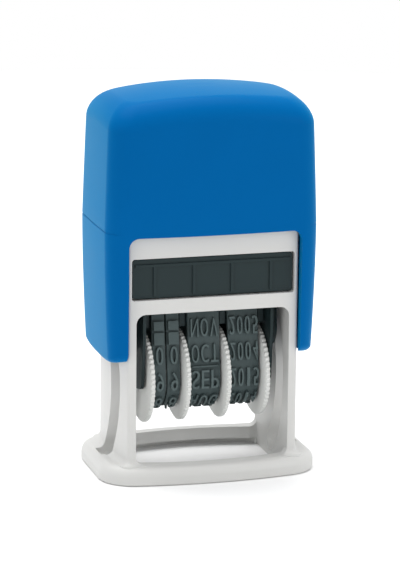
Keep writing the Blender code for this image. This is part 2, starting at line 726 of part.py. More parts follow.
def make_wheels(material):
    """The four setting wheels: a serrated disc with the drum that drives its band."""
    spans = band_spans()
    for name, face in WHEEL_OUTER_FACES.items():
        rim = serrated_outline(WHEEL_RADIUS, WHEEL_RADIUS - WHEEL_TOOTH_DEPTH, AXLE_Z)
        disc = prism_x(rim, face, face + WHEEL_THICKNESS)
        wheel = make_object(f"{name}_wheel", disc, material)
        low, high = spans[name]
        if name == "tens":
            drum_low, drum_high = face + WHEEL_THICKNESS - WELD, high
        else:
            drum_low, drum_high = low, face + WELD
        drum = circle(0, AXLE_Z, DRUM_RADIUS)
        combine(wheel, "UNION", prism_x(drum, drum_low, drum_high), "drum")
        dish_outer = WHEEL_RADIUS - WHEEL_RIM_WIDTH
        dish_inner = AXLE_RADIUS + WHEEL_RIM_WIDTH
        if name == "tens":
            dish = [
                (face - OVERRUN, dish_inner), (face - OVERRUN, dish_outer),
                (face + WHEEL_FACE_DISH, dish_outer), (face + WHEEL_FACE_DISH, dish_inner),
            ]
        else:
            back = face + WHEEL_THICKNESS
            dish = [
                (back - WHEEL_FACE_DISH, dish_inner), (back - WHEEL_FACE_DISH, dish_outer),
                (back + OVERRUN, dish_outer), (back + OVERRUN, dish_inner),
            ]
        combine(wheel, "DIFFERENCE", turned_x(dish, AXLE_Z), "dish")
        bore = circle(0, AXLE_Z, AXLE_RADIUS + GAP, ROUND_STEPS // 2)
        bore_cut = prism_x(bore, -CHEEK_OUTER - OVERRUN, CHEEK_OUTER + OVERRUN)
        combine(wheel, "DIFFERENCE", bore_cut, "bore")
        wheel_origin = (0, 0, AXLE_Z)
        move_origin(wheel, wheel_origin)


def make_axle(material):
    """The steel rod that the wheels turn on."""
    radius = AXLE_RADIUS
    bevelled = radius - AXLE_END_CHAMFER
    levels = [
        (-CHEEK_OUTER, bevelled), (-CHEEK_OUTER + AXLE_END_CHAMFER, radius),
        (CHEEK_OUTER - AXLE_END_CHAMFER, radius), (CHEEK_OUTER, bevelled),
    ]
    bm = bmesh.new()
    rings = []
    for x, reach in levels:
        rings.append([(x, y, z) for y, z in circle(0, AXLE_Z, reach, ROUND_STEPS // 2)])
    skin(bm, rings)
    axle = make_object("wheel_axle", bm, material)
    move_origin(axle, (0, 0, PIVOT_Z))


def cheek_outline():
    """A carrier cheek in (y, z): a boss at the axle, sloping feet, and sides that widen upward."""
    corner = CHEEK_FOOT_CORNER
    corner_y = CHEEK_FOOT_HALF_DEPTH - corner
    foot_lean = atan2(CHEEK_FOOT_RISE, corner_y)
    below = foot_lean - acos((CHEEK_BOSS_RADIUS - corner) / hypot(corner_y, CHEEK_FOOT_RISE))
    side_y = CHEEK_HALF_DEPTH - corner_y
    side_z = CHEEK_SHOULDER_RISE - CHEEK_FOOT_RISE
    beside = atan2(side_z, side_y) - acos(corner / hypot(side_y, side_z))
    right = arc(0, AXLE_Z, CHEEK_BOSS_RADIUS, -pi / 2, below, 2)
    right += arc(corner_y, AXLE_Z + CHEEK_FOOT_RISE, corner, below, beside, CORNER_STEPS)
    right.append((CHEEK_HALF_DEPTH, AXLE_Z + CHEEK_SHOULDER_RISE))
    top_y = CHEEK_HALF_DEPTH - HEAD_CORNER
    right += arc(top_y, CUSHION_TOP - HEAD_CORNER, HEAD_CORNER, 0, pi / 2, CORNER_STEPS)
    return right + [(-y, z) for y, z in reversed(right[1:])]


def make_carrier(material):
    """The band carrier: a print head block, dividers between the bands and two side cheeks."""
    block = rectangle(
        -BLOCK_HALF_DEPTH, BLOCK_HALF_DEPTH, BLOCK_TOP - CARRIER_BLOCK_HEIGHT, BLOCK_TOP
    )
    carrier = make_object("band_carrier", prism_x(block, -CHEEK_OUTER + GAP, CHEEK_OUTER - GAP), material)
    for side, label in ((-1, "left"), (1, "right")):
        low = min(side * CHEEK_INNER, side * CHEEK_OUTER)
        high = max(side * CHEEK_INNER, side * CHEEK_OUTER)
        combine(carrier, "UNION", prism_x(cheek_outline(), low, high), f"{label}_cheek")

    divider = rounded_rectangle(
        -BLOCK_HALF_DEPTH - BAND_THICKNESS, BLOCK_HALF_DEPTH + BAND_THICKNESS,
        BLOCK_TOP - CARRIER_BLOCK_HEIGHT, BAND_UNDERSIDE, GAP, HEAD_CORNER,
    )
    for name, face in WHEEL_OUTER_FACES.items():
        shape = prism_x(divider, face, face + WHEEL_THICKNESS)
        combine(carrier, "UNION", shape, f"{name}_divider")

    axle_hole = circle(0, AXLE_Z, AXLE_RADIUS + GAP, ROUND_STEPS // 2)
    combine(
        carrier, "DIFFERENCE", prism_x(axle_hole, -INNER_HALF_WIDTH, INNER_HALF_WIDTH), "axle_holes"
    )
    socket = KEY_HALF_WIDTH + GAP
    key_hole = rectangle(-socket, socket, PIVOT_Z - socket, PIVOT_Z + socket)
    for side, label in ((-1, "left"), (1, "right")):
        inner = side * (CHEEK_INNER - GAP)
        outer = side * (CHEEK_OUTER + OVERRUN)
        cut = prism_x(key_hole, min(inner, outer), max(inner, outer))
        combine(carrier, "DIFFERENCE", cut, f"{label}_key_hole")
    move_origin(carrier, (0, 0, PIVOT_Z))


def make_cushions(material):
    """Rubber cushions between the print head and the bands."""
    spans = band_spans()
    cushion_spans = {
        "day": (spans["tens"][0], spans["ones"][1]),
        "month": spans["month"],
        "year": spans["year"],
    }
    outline = rounded_rectangle(
        -BLOCK_HALF_DEPTH, BLOCK_HALF_DEPTH, CUSHION_UNDERSIDE, CUSHION_TOP,
        GAP / 2, HEAD_CORNER - BAND_THICKNESS, 3,
    )
    for name, (low, high) in cushion_spans.items():
        cushion = make_object(f"{name}_cushion", prism_x(outline, low, high), material)
        move_origin(cushion, (0, 0, PIVOT_Z))


def crank_outline():
    """The crank in (y, z): a large eye on the pivot drawn in to a small eye at the cam pin."""
    large, small = CRANK_EYE_RADIUS, CRANK_PIN_EYE_RADIUS
    lean = pi / 2 - acos((large - small) / CAM_THROW)
    outline = arc(0, PIVOT_Z, large, pi - lean, 2 * pi + lean, 3 * CORNER_STEPS)
    outline += arc(0, PIVOT_Z + CAM_THROW, small, lean, pi - lean, 2 * CORNER_STEPS)
    return outline


def make_cranks(material):
    """The flip cranks, keyed to the carrier through the bridge's eyes."""
    for side, label in ((-1, "left"), (1, "right")):
        low = min(side * CRANK_INNER, side * CRANK_OUTER)
        high = max(side * CRANK_INNER, side * CRANK_OUTER)
        crank = make_object(f"{label}_flip_crank", prism_x(crank_outline(), low, high), material)
        parts = {
            "cam_pin": (
                circle(0, PIVOT_Z + CAM_THROW, CAM_PIN_RADIUS),
                CRANK_OUTER - WELD, CRANK_OUTER + CRANK_PIN_REACH,
            ),
            "trunnion": (circle(0, PIVOT_Z, TRUNNION_RADIUS), CHEEK_OUTER + GAP / 2, CRANK_INNER + WELD),
            "key": (
                rectangle(
                    -KEY_HALF_WIDTH, KEY_HALF_WIDTH, PIVOT_Z - KEY_HALF_WIDTH, PIVOT_Z + KEY_HALF_WIDTH
                ),
                CHEEK_INNER, CHEEK_OUTER + WELD,
            ),
        }
        for name, (outline, near, far) in parts.items():
            shape = prism_x(outline, min(side * near, side * far), max(side * near, side * far))
            combine(crank, "UNION", shape, name)
        move_origin(crank, (0, 0, PIVOT_Z))


# Ink cartridge


def make_ink_tray(material):
    """The ink cartridge: a tray behind a ribbed front plate that fills the frame's window."""
    low_z = FELT_FACE
    plate = rounded_rectangle(
        -TRAY_FRONT_HALF_WIDTH, TRAY_FRONT_HALF_WIDTH, low_z, WINDOW_TOP - GAP,
        TRAY_FRONT_CORNER, TRAY_FRONT_CORNER,
    )
    tray = make_object("ink_tray", prism_y(plate, TRAY_FRONT_FACE, TRAY_FRONT_BACK), material)
    body = rounded_rectangle(
        -TRAY_HALF_WIDTH, TRAY_HALF_WIDTH, TRAY_FRONT_BACK - WELD, TRAY_REAR, GAP, TRAY_CORNER
    )
    combine(tray, "UNION", prism_z(body, low_z, TRAY_TOP), "body")
    for number, share in enumerate(TRAY_RIB_SHARES):
        place = share * TRAY_FRONT_HALF_WIDTH
        rib = rectangle(
            place - TRAY_RIB_HALF_WIDTH, place + TRAY_RIB_HALF_WIDTH,
            low_z + TRAY_FRONT_CORNER, WINDOW_TOP - TRAY_LIP_DROP,
        )
        shape = prism_y(rib, TRAY_FRONT_FACE - TRAY_RIB_RISE, TRAY_FRONT_FACE + WELD)
        combine(tray, "UNION", shape, f"rib_{number}")
    lip_half = TRAY_FRONT_HALF_WIDTH - TRAY_FRONT_CORNER
    lip_z = WINDOW_TOP - TRAY_LIP_DROP
    lip = rectangle(-lip_half, lip_half, lip_z - TRAY_LIP_THICKNESS, lip_z)
    combine(
        tray, "UNION", prism_y(lip, TRAY_FRONT_FACE - TRAY_RIB_RISE, TRAY_FRONT_FACE + WELD), "lip"
    )
    inside = rectangle(
        TRAY_WALL - TRAY_HALF_WIDTH, TRAY_HALF_WIDTH - TRAY_WALL,
        TRAY_FRONT_BACK + TRAY_WALL, TRAY_REAR - TRAY_WALL,
    )
    combine(tray, "DIFFERENCE", prism_z(inside, low_z - OVERRUN, TRAY_DECK_UNDERSIDE), "felt_pocket")
    return tray


def make_felt(material):
    """The ink felt, face down in the tray."""
    margin = TRAY_WALL + GAP
    plan = rectangle(
        margin - TRAY_HALF_WIDTH, TRAY_HALF_WIDTH - margin,
        TRAY_FRONT_BACK + margin, TRAY_REAR - margin,
    )
    return make_object("ink_felt", prism_z(plan, FELT_FACE, FELT_TOP), material)


# Return spring


def spring_points():
    """The wire's centre line: a helix between the frame's deck and the bridge."""
    low = ROOF_TOP + GAP + SPRING_WIRE_RADIUS
    high = BRIDGE_UNDERSIDE - GAP - SPRING_WIRE_RADIUS
    count = ceil(SPRING_TURNS * SPRING_POINTS_PER_TURN)
    points = []
    for step in range(count + 1):
        share = step / count
        angle = 2 * pi * SPRING_TURNS * share
        x = SPRING_COIL_RADIUS * cos(angle)
        y = SPRING_COIL_RADIUS * sin(angle)
        points.append(Vector((x, y, low + (high - low) * share)))
    return points


def least_gap(points):
    """The least clear distance between one turn of the wire and the next, on its points."""
    apart = SPRING_POINTS_PER_TURN // 2
    least = min(
        (points[i] - points[j]).length
        for i in range(len(points))
        for j in range(i + apart, len(points))
    )
    return least - 2 * SPRING_WIRE_RADIUS


def make_spring(material):
    """The return spring under the cap, one round wire wound on a helix."""
    points = spring_points()
    curve = bpy.data.curves.new("return_spring", "CURVE")
    curve.dimensions = "3D"
    curve.bevel_depth = SPRING_WIRE_RADIUS
    curve.bevel_resolution = 1
    curve.use_fill_caps = True
    spline = curve.splines.new("POLY")
    spline.points.add(len(points) - 1)
    for spot, point in zip(spline.points, points):
        spot.co = (*point, 1.0)
    curve.materials.append(material)
    spring = bpy.data.objects.new("return_spring", curve)
    bpy.context.scene.collection.objects.link(spring)
    print(f"return_spring: least gap between turns {least_gap(points) / MM:.2f} mm")
    return spring


def main():
    clear_scene()
    light_plastic = make_material("light_grey_plastic", (0.68, 0.68, 0.66), 0.45)
    blue_plastic = make_material("blue_plastic", (0.0, 0.10, 0.39), 0.35)
    dark_plastic = make_material("dark_plastic", (0.026, 0.042, 0.045), 0.5)
    wheel_plastic = make_material("wheel_plastic", (0.70, 0.71, 0.70), 0.5)
    band_rubber = make_material("band_rubber", (0.048, 0.065, 0.069), 0.7)
    cushion_rubber = make_material("cushion_rubber", (0.02, 0.02, 0.02), 0.8)
    steel = make_material("steel", (0.56, 0.57, 0.58), 0.3, 1.0)
    felt = make_material("ink_felt", (0.012, 0.013, 0.02), 0.95)

    make_frame(light_plastic)
    make_cap(blue_plastic)
    make_bridge(dark_plastic)
    make_carrier(dark_plastic)
    make_cushions(cushion_rubber)
    make_axle(steel)
    make_bands(band_rubber)
    make_wheels(wheel_plastic)
    make_cranks(dark_plastic)
    make_ink_tray(dark_plastic)
    make_felt(felt)
    make_spring(steel)


main()
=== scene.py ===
"""Self-inking date stamp: the looks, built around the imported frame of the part."""

from bisect import bisect_right
from math import acos, atan2, copysign, cos, hypot, pi, radians, sin

import bmesh
import bpy
from mathutils import Matrix, Vector, noise


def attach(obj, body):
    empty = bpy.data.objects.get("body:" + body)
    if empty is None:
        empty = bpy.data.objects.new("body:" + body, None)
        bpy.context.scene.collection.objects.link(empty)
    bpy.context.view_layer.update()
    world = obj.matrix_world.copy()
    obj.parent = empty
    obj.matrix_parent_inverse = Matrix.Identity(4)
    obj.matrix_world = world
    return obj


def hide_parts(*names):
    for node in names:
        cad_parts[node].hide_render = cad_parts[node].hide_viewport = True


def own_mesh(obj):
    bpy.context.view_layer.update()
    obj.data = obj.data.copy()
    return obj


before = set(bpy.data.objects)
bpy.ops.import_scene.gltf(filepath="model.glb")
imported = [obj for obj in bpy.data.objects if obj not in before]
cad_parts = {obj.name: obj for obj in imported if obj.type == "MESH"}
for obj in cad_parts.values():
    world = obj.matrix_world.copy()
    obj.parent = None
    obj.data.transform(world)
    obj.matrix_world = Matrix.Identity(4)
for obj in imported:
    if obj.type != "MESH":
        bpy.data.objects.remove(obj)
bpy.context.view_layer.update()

# Studio: a pale floor under soft lamps, seen through a long lens from the stamp's left and a
# little above, as a product on a light table is photographed. The world is white to the camera
# and in reflections, and it lights the stamp at a plain level.

MM = 0.001
scene = bpy.context.scene
scene.view_settings.view_transform = "Standard"

STAMP_MIDDLE = Vector((0, 0, 40 * MM))
CAMERA_AZIMUTH = radians(15.93)
CAMERA_ELEVATION = radians(13.56)
CAMERA_ROLL = radians(0.528)
CAMERA_DISTANCE = 652.45 * MM
CAMERA_SLIDE_RIGHT = 0.416 * MM
CAMERA_SLIDE_DOWN = 1.115 * MM
LENS = 195.5
SENSOR = 36.0
FAR_CLIP = 20


def new_object(name, data):
    """A new object in the scene, at the origin."""
    made = bpy.data.objects.new(name, data)
    scene.collection.objects.link(made)
    return made


def add_camera():
    """A camera that looks at the stamp's middle along the photograph's line of sight."""
    back = Vector((
        -sin(CAMERA_AZIMUTH) * cos(CAMERA_ELEVATION),
        -cos(CAMERA_AZIMUTH) * cos(CAMERA_ELEVATION),
        sin(CAMERA_ELEVATION),
    ))
    level_right = Vector((0, 0, 1)).cross(back).normalized()
    level_up = back.cross(level_right)
    right = cos(CAMERA_ROLL) * level_right + sin(CAMERA_ROLL) * level_up
    up = cos(CAMERA_ROLL) * level_up - sin(CAMERA_ROLL) * level_right
    slide = level_right * CAMERA_SLIDE_RIGHT - level_up * CAMERA_SLIDE_DOWN
    place = STAMP_MIDDLE + back * CAMERA_DISTANCE + slide
    turn = Matrix((right, up, back)).transposed().to_4x4()
    data = bpy.data.cameras.new("camera")
    data.lens = LENS
    data.sensor_fit = "VERTICAL"
    data.sensor_height = SENSOR
    data.clip_end = FAR_CLIP
    scene.camera = new_object("camera", data)
    scene.camera.matrix_world = Matrix.Translation(place) @ turn


add_camera()

WORLD_LIGHT = 0.64
WHITE = (1, 1, 1, 1)


def set_inputs(node, inputs):
    """Set inputs of a node, by name or number, each to a value or to another node's output."""
    for key, source in inputs.items():
        if isinstance(source, bpy.types.NodeSocket):
            node.id_data.links.new(source, node.inputs[key])
        else:
            node.inputs[key].default_value = source


def add_node(tree, kind, inputs, **settings):
    """A new node with these settings and inputs."""
    node = tree.nodes.new(kind)
    for name, value in settings.items():
        setattr(node, name, value)
    set_inputs(node, inputs)
    return node


def add_world():
    """Even light from all round, and plain white to the camera, in gloss and through glass."""
    world = bpy.data.worlds.new("studio")
    scene.world = world
    world.use_nodes = True
    tree = world.node_tree
    light = tree.nodes["Background"]
    set_inputs(light, {"Color": WHITE, "Strength": WORLD_LIGHT})
    white = add_node(tree, "ShaderNodeBackground", {"Color": WHITE, "Strength": 1.0})
    path = tree.nodes.new("ShaderNodeLightPath")
    seen = path.outputs["Is Camera Ray"]
    for ray in ("Is Glossy Ray", "Is Transmission Ray"):
        rays = {0: seen, 1: path.outputs[ray]}
        seen = add_node(tree, "ShaderNodeMath", rays, operation="MAXIMUM").outputs["Value"]
    mix = add_node(tree, "ShaderNodeMixShader", {
        "Fac": seen, 1: light.outputs["Background"], 2: white.outputs["Background"],
    })
    set_inputs(tree.nodes["World Output"], {"Surface": mix.outputs["Shader"]})


add_world()

FLOOR_RADIUS = 0.5
FLOOR_DROP = 0.05 * MM
FLOOR_GREY = (0.93, 0.93, 0.93, 1)
FLOOR_ROUGHNESS = 0.8


def mesh_of(bm, name):
    """The plain mesh of a form that was built in bmesh."""
    mesh = bpy.data.meshes.new(name)
    bm.to_mesh(mesh)
    bm.free()
    return mesh


def new_material(name):
    """A material whose look is made by nodes."""
    material = bpy.data.materials.new(name)
    material.use_nodes = True
    return material


def shader_of(material):
    """The shader that a material's nodes feed."""
    return material.node_tree.nodes["Principled BSDF"]


def add_floor():
    """A matt pale disc just under the stamp, which looks white where nothing shades it."""
    bm = bmesh.new()
    bmesh.ops.create_circle(bm, cap_ends=True, radius=FLOOR_RADIUS, segments=96)
    mesh = mesh_of(bm, "floor")
    mesh.transform(Matrix.Translation((0, 0, -FLOOR_DROP)))
    material = new_material("floor_white")
    set_inputs(shader_of(material), {
        "Base Color": FLOOR_GREY, "Roughness": FLOOR_ROUGHNESS, "Specular IOR Level": 0.0,
    })
    mesh.materials.append(material)
    new_object("floor", mesh)


add_floor()

# Each lamp has its place and its size in metres, and its power in watts.
LAMPS = {
    "overhead": ((-0.05, 0.12, 0.75), 0.7, 6.5),
    "left": ((-0.7, -0.25, 0.35), 0.5, 0.5),
    "right": ((0.5, -0.6, 0.3), 0.4, 1.15),
}


def add_lamp(name, place, size, power):
    """A soft square lamp that looks at the stamp's middle."""
    data = bpy.data.lights.new(name, "AREA")
    data.shape = "SQUARE"
    data.size = size
    data.energy = power
    place = Vector(place)
    turn = (STAMP_MIDDLE - place).to_track_quat("-Z", "Y").to_matrix().to_4x4()
    new_object(name, data).matrix_world = Matrix.Translation(place) @ turn


for name, (place, size, power) in LAMPS.items():
    add_lamp(name, place, size, power)


# Frame: one light grey moulding with the base ring, the upright walls with their cam slots, the
# crossbars round the window and the deck that the return spring stands on. It is satin plastic
# from a polished tool, and its sharp edges are a little rounded.

FRAME_EDGE = 0.28 * MM
FRAME_GREY = (0.595, 0.595, 0.58)
WELD = 0.002 * MM
FLAT_WITHIN = radians(0.6)
TONE_DRIFT_SIZE = 14 * MM
GLOSS_DRIFT = 0.15


def joined_faces(node):
    """A copy of a solid's mesh in which the loose triangles are joined into whole faces."""
    bm = bmesh.new()
    bm.from_mesh(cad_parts[node].data)
    bmesh.ops.remove_doubles(bm, verts=bm.verts, dist=WELD)
    bmesh.ops.dissolve_limit(
        bm, angle_limit=FLAT_WITHIN, verts=bm.verts, edges=bm.edges, delimit={"SHARP"}
    )
    return mesh_of(bm, node)


def add_piece(name, mesh, material, body):
    """Put a mesh into the scene as a piece of the stamp that moves with one body."""
    piece = new_object(name, mesh)
    mesh.materials.clear()
    mesh.materials.append(material)
    mesh.shade_smooth()
    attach(piece, body)
    return piece


def round_edges(piece, width, segments=2, angle=radians(30)):
    """Round a piece's sharp edges, and let its broad faces keep flat shading."""
    bevel = piece.modifiers.new("rounded_edges", "BEVEL")
    bevel.width = width
    bevel.segments = segments
    bevel.limit_method = "ANGLE"
    bevel.angle_limit = angle
    bevel.use_clamp_overlap = True
    bevel.miter_outer = "MITER_ARC"
    normals = piece.modifiers.new("even_shading", "WEIGHTED_NORMAL")
    normals.keep_sharp = False
    normals.weight = 80


def speckle(material, size, detail, roughness=0.5, distortion=0.0):
    """A pattern of soft spots of one size that stays fixed to the piece."""
    place = material.node_tree.nodes.new("ShaderNodeTexCoord")
    spots = add_node(material.node_tree, "ShaderNodeTexNoise", {
        "Vector": place.outputs["Object"], "Scale": 1 / size, "Detail": detail,
        "Roughness": roughness, "Distortion": distortion,
    })
    return spots.outputs["Fac"]


def vary_tone(material, pattern, low, high):
    """Let a material's colour run between two tones with a pattern."""
    tones = {"Factor": pattern, "A": (*low, 1), "B": (*high, 1)}
    tone = add_node(material.node_tree, "ShaderNodeMix", tones, data_type="RGBA")
    set_inputs(shader_of(material), {"Base Color": tone.outputs["Result"]})


def vary_gloss(material, pattern, low, high):
    """Let a material's roughness run between two values with a pattern."""
    values = {"Value": pattern, "To Min": low, "To Max": high}
    gloss = add_node(material.node_tree, "ShaderNodeMapRange", values)
    set_inputs(shader_of(material), {"Roughness": gloss.outputs["Result"]})


def add_relief(material, pattern, depth, strength=1.0):
    """Raise a pattern in fine relief on a material's surface."""
    relief = {"Height": pattern, "Distance": depth, "Strength": strength}
    bump = add_node(material.node_tree, "ShaderNodeBump", relief)
    set_inputs(shader_of(material), {"Normal": bump.outputs["Normal"]})


def moulded_plastic(name, colour, roughness, specular, grain_size, grain_depth, shade):
    """Injection-moulded plastic: a fine grain, a slow drift of tone and uneven gloss."""
    material = new_material(name)
    set_inputs(shader_of(material), {"Specular IOR Level": specular})
    drift = speckle(material, TONE_DRIFT_SIZE, detail=3)
    darker = [c * (1 - shade) for c in colour]
    paler = [min(1, c * (1 + shade)) for c in colour]
    vary_tone(material, drift, darker, paler)
    vary_gloss(material, drift, roughness * (1 - GLOSS_DRIFT), roughness * (1 + GLOSS_DRIFT))
    grain = speckle(material, grain_size, detail=2)
    add_relief(material, grain, grain_depth, strength=0.6)
    return material


frame_plastic = moulded_plastic(
    "frame_plastic", FRAME_GREY, roughness=0.42, specular=0.4,
    grain_size=0.5 * MM, grain_depth=0.004 * MM, shade=0.015,
)
frame_body = add_piece("frame_moulding", joined_faces("frame"), frame_plastic, "frame")
round_edges(frame_body, FRAME_EDGE, segments=3)
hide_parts("frame")


# Return spring: round steel wire wound open on an even helix round the frame's post. It pushes
# the cap up again and shortens as the cap comes down; here it is built at one length.

SPRING_FOOT = 50.2 * MM
SPRING_HEAD = 75.8 * MM
SPRING_WIRE = 0.4 * MM
SPRING_COIL = 5.3 * MM
SPRING_TURNS = 5.5
STEEL_GREY = (0.56, 0.57, 0.58)
STEEL_SPOTS = 0.8 * MM
STEEL_RELIEF = 0.003 * MM


def socket_id(group, name):
    """The identifier of a node group's named input."""
    return next(
        item.identifier
        for item in group.interface.items_tree
        if item.item_type == "SOCKET" and item.in_out == "INPUT" and item.name == name
    )


def new_form(name, numbers, counts=()):
    """A Geometry Nodes group with a geometry in and out, named numbers and counts and a finish."""
    group = bpy.data.node_groups.new(name, "GeometryNodeTree")
    kinds = {"Geometry": "NodeSocketGeometry"}
    kinds.update(dict.fromkeys(numbers, "NodeSocketFloat"))
    kinds.update(dict.fromkeys(counts, "NodeSocketInt"))
    kinds["Finish"] = "NodeSocketMaterial"
    for socket, kind in kinds.items():
        group.interface.new_socket(socket, in_out="INPUT", socket_type=kind)
    group.interface.new_socket("Geometry", in_out="OUTPUT", socket_type="NodeSocketGeometry")
    return group, group.nodes.new("NodeGroupInput").outputs


def finish_form(group, given, last):
    """End a node group with real geometry that carries its material."""
    real = add_node(group, "GeometryNodeRealizeInstances", {"Geometry": last})
    paint = add_node(group, "GeometryNodeSetMaterial", {
        "Geometry": real.outputs["Geometry"], "Material": given["Finish"],
    })
    add_node(group, "NodeGroupOutput", {"Geometry": paint.outputs["Geometry"]})


def settled_mesh(holder):
    """The plain mesh that an object's modifiers or curve make. The object itself is removed."""
    bpy.context.view_layer.update()
    graph = bpy.context.evaluated_depsgraph_get()
    mesh = bpy.data.meshes.new_from_object(holder.evaluated_get(graph))
    bpy.data.objects.remove(holder, do_unlink=True)
    return mesh


def shape_by_nodes(name, mesh, group, sizes):
    """Run a node group on a mesh with these sizes, and return the plain mesh that it makes."""
    holder = new_object(name, mesh)
    modifier = holder.modifiers.new(name, "NODES")
    modifier.node_group = group
    for size, value in sizes.items():
        modifier[socket_id(group, size)] = value
    made = settled_mesh(holder)
    made.name = name
    return made


def spring_form():
    """The wire: a helix of the coil's radius with a round section and closed ends."""
    group, given = new_form(
        "spring_form", ("Foot", "Height", "Coil Radius", "Wire Radius", "Turns")
    )
    helix = add_node(group, "GeometryNodeCurveSpiral", {
        "Resolution": 64, "Rotations": given["Turns"], "Height": given["Height"],
        "Start Radius": given["Coil Radius"], "End Radius": given["Coil Radius"],
    })
    section = add_node(group, "GeometryNodeCurvePrimitiveCircle", {
        "Resolution": 16, "Radius": given["Wire Radius"],
    })
    wire = add_node(group, "GeometryNodeCurveToMesh", {
        "Curve": helix.outputs["Curve"], "Profile Curve": section.outputs["Curve"],
        "Fill Caps": True,
    })
    lift = add_node(group, "ShaderNodeCombineXYZ", {"Z": given["Foot"]})
    put = add_node(group, "GeometryNodeTransform", {
        "Geometry": wire.outputs["Mesh"], "Translation": lift.outputs["Vector"],
    })
    finish_form(group, given, put.outputs["Geometry"])
    return group


def drawn_steel(name, colour, roughness):
    """Plain drawn steel, with small spots that differ a little in tone, gloss and height."""
    material = new_material(name)
    set_inputs(shader_of(material), {"Metallic": 1.0})
    spots = speckle(material, STEEL_SPOTS, detail=4)
    darker = [0.85 * c for c in colour]
    vary_tone(material, spots, darker, colour)
    vary_gloss(material, spots, low=0.7 * roughness, high=1.4 * roughness)
    add_relief(material, spots, STEEL_RELIEF, strength=0.4)
    return material


steel = drawn_steel("steel", STEEL_GREY, roughness=0.3)
spring_low = SPRING_FOOT + SPRING_WIRE
spring_mesh = shape_by_nodes("return_spring_wire", bpy.data.meshes.new("wire"), spring_form(), {
    "Foot": spring_low,
    "Height": SPRING_HEAD - SPRING_WIRE - spring_low,
    "Coil Radius": SPRING_COIL,
    "Wire Radius": SPRING_WIRE,
    "Turns": SPRING_TURNS,
    "Finish": steel,
})
spring = add_piece("return_spring_wire", spring_mesh, steel, "frame")
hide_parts("return_spring")
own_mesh(spring)


# Cap: the blue press cap, one semi-gloss moulding with a domed top, rounded shoulders, faces and
# sides that swell a little, a fine parting line and a notch front and back. It closes over the
# frame with play all round, its sides dip at the foot, and its lower lip rolls in.

CAP_HALF_WIDTH = 22.9 * MM
CAP_HALF_DEPTH = 14.5 * MM
CAP_BOW = 1.2 * MM
CAP_SIDE_BOW = 0.25 * MM
CAP_CORNER = 4.0 * MM
CAP_WALL = 1.5 * MM
CAP_TOP = 81.7 * MM
CAP_TOP_ROUND = 4.6 * MM
CAP_DOME_DROP = 2.4 * MM
CAP_BOTTOM = 27.9 * MM
CAP_FOOT_DROP = 2.7 * MM
CAP_LIP_ROUND = 1.2 * MM
CAP_GIRTH_Z = 53.5 * MM
CAP_SIDE_TOP_TAPER = 0.9 * MM
CAP_SIDE_FOOT_TAPER = 0.8 * MM
CAP_FACE_TOP_TAPER = 0.4 * MM
CAP_FACE_FOOT_TAPER = 0.2 * MM
CAP_SEAM_DEPTH = 0.16 * MM
CAP_SEAM_HALF_WIDTH = 0.2 * MM
NOTCH_HALF_WIDTH = 18.55 * MM
NOTCH_TOP = 52.7 * MM
NOTCH_ROUND = 2.2 * MM
NOTCH_FOOT_ROUND = 0.3 * MM
PASSAGE_HALF_WIDTH = 20.05 * MM
PASSAGE_HALF_DEPTH = 12.2 * MM
PASSAGE_BOW = 1.5 * MM
PASSAGE_TOP = 75.8 * MM
PASSAGE_CORNER = 0.8 * MM
CAP_EDGE = 0.22 * MM
CAP_BLUE = (0.0002, 0.101, 0.320)
CAP_SHEEN = 0.38
CAP_SHEEN_ROUGHNESS = 0.45
CAP_SHEEN_TINT = (0.0, 0.6, 0.9, 1)


def arc(centre_a, centre_b, radius, start, end, steps):
    """Points along an arc, both ends included."""
    points = []
    for step in range(steps + 1):
        angle = start + (end - start) * step / steps
        points.append((centre_a + radius * cos(angle), centre_b + radius * sin(angle)))
    return points


def bowed_outline(half_width, half_depth, corner, bow, side_bow=0):
    """A rounded rectangle in plan whose faces and sides swell by their bows at the middle."""
    corner_steps, face_steps, side_steps = 14, 18, 8
    flat_width = half_width - side_bow
    flat_depth = half_depth - bow
    corner_x = flat_width - corner
    corner_y = flat_depth - corner
    points = []
    for quarter in range(4):
        side_x = 1 if quarter in (0, 3) else -1
        side_y = 1 if quarter in (0, 1) else -1
        points += arc(
            side_x * corner_x, side_y * corner_y, corner,
            quarter * pi / 2, (quarter + 1) * pi / 2, corner_steps,
        )
        if quarter in (0, 2):
            for step in range(1, face_steps):
                x = side_x * corner_x * (1 - 2 * step / face_steps)
                points.append((x, side_y * flat_depth))
        else:
            for step in range(1, side_steps):
                y = side_y * corner_y * (1 - 2 * step / side_steps)
                points.append((side_x * flat_width, y))
    swollen = []
    for x, y in points:
        out_x = side_bow * (1 - (y / flat_depth) ** 2) if abs(x) > corner_x else 0
        out_y = bow * (1 - (x / flat_width) ** 2) if abs(y) > corner_y else 0
        swollen.append((x + copysign(out_x, x), y + copysign(out_y, y)))
    return swollen


def dome_drop(x, y):
    """How far the domed top falls away from its middle at a place in plan."""
    return CAP_DOME_DROP * ((x / CAP_HALF_WIDTH) ** 2 + (y / CAP_HALF_DEPTH) ** 2 / 2)


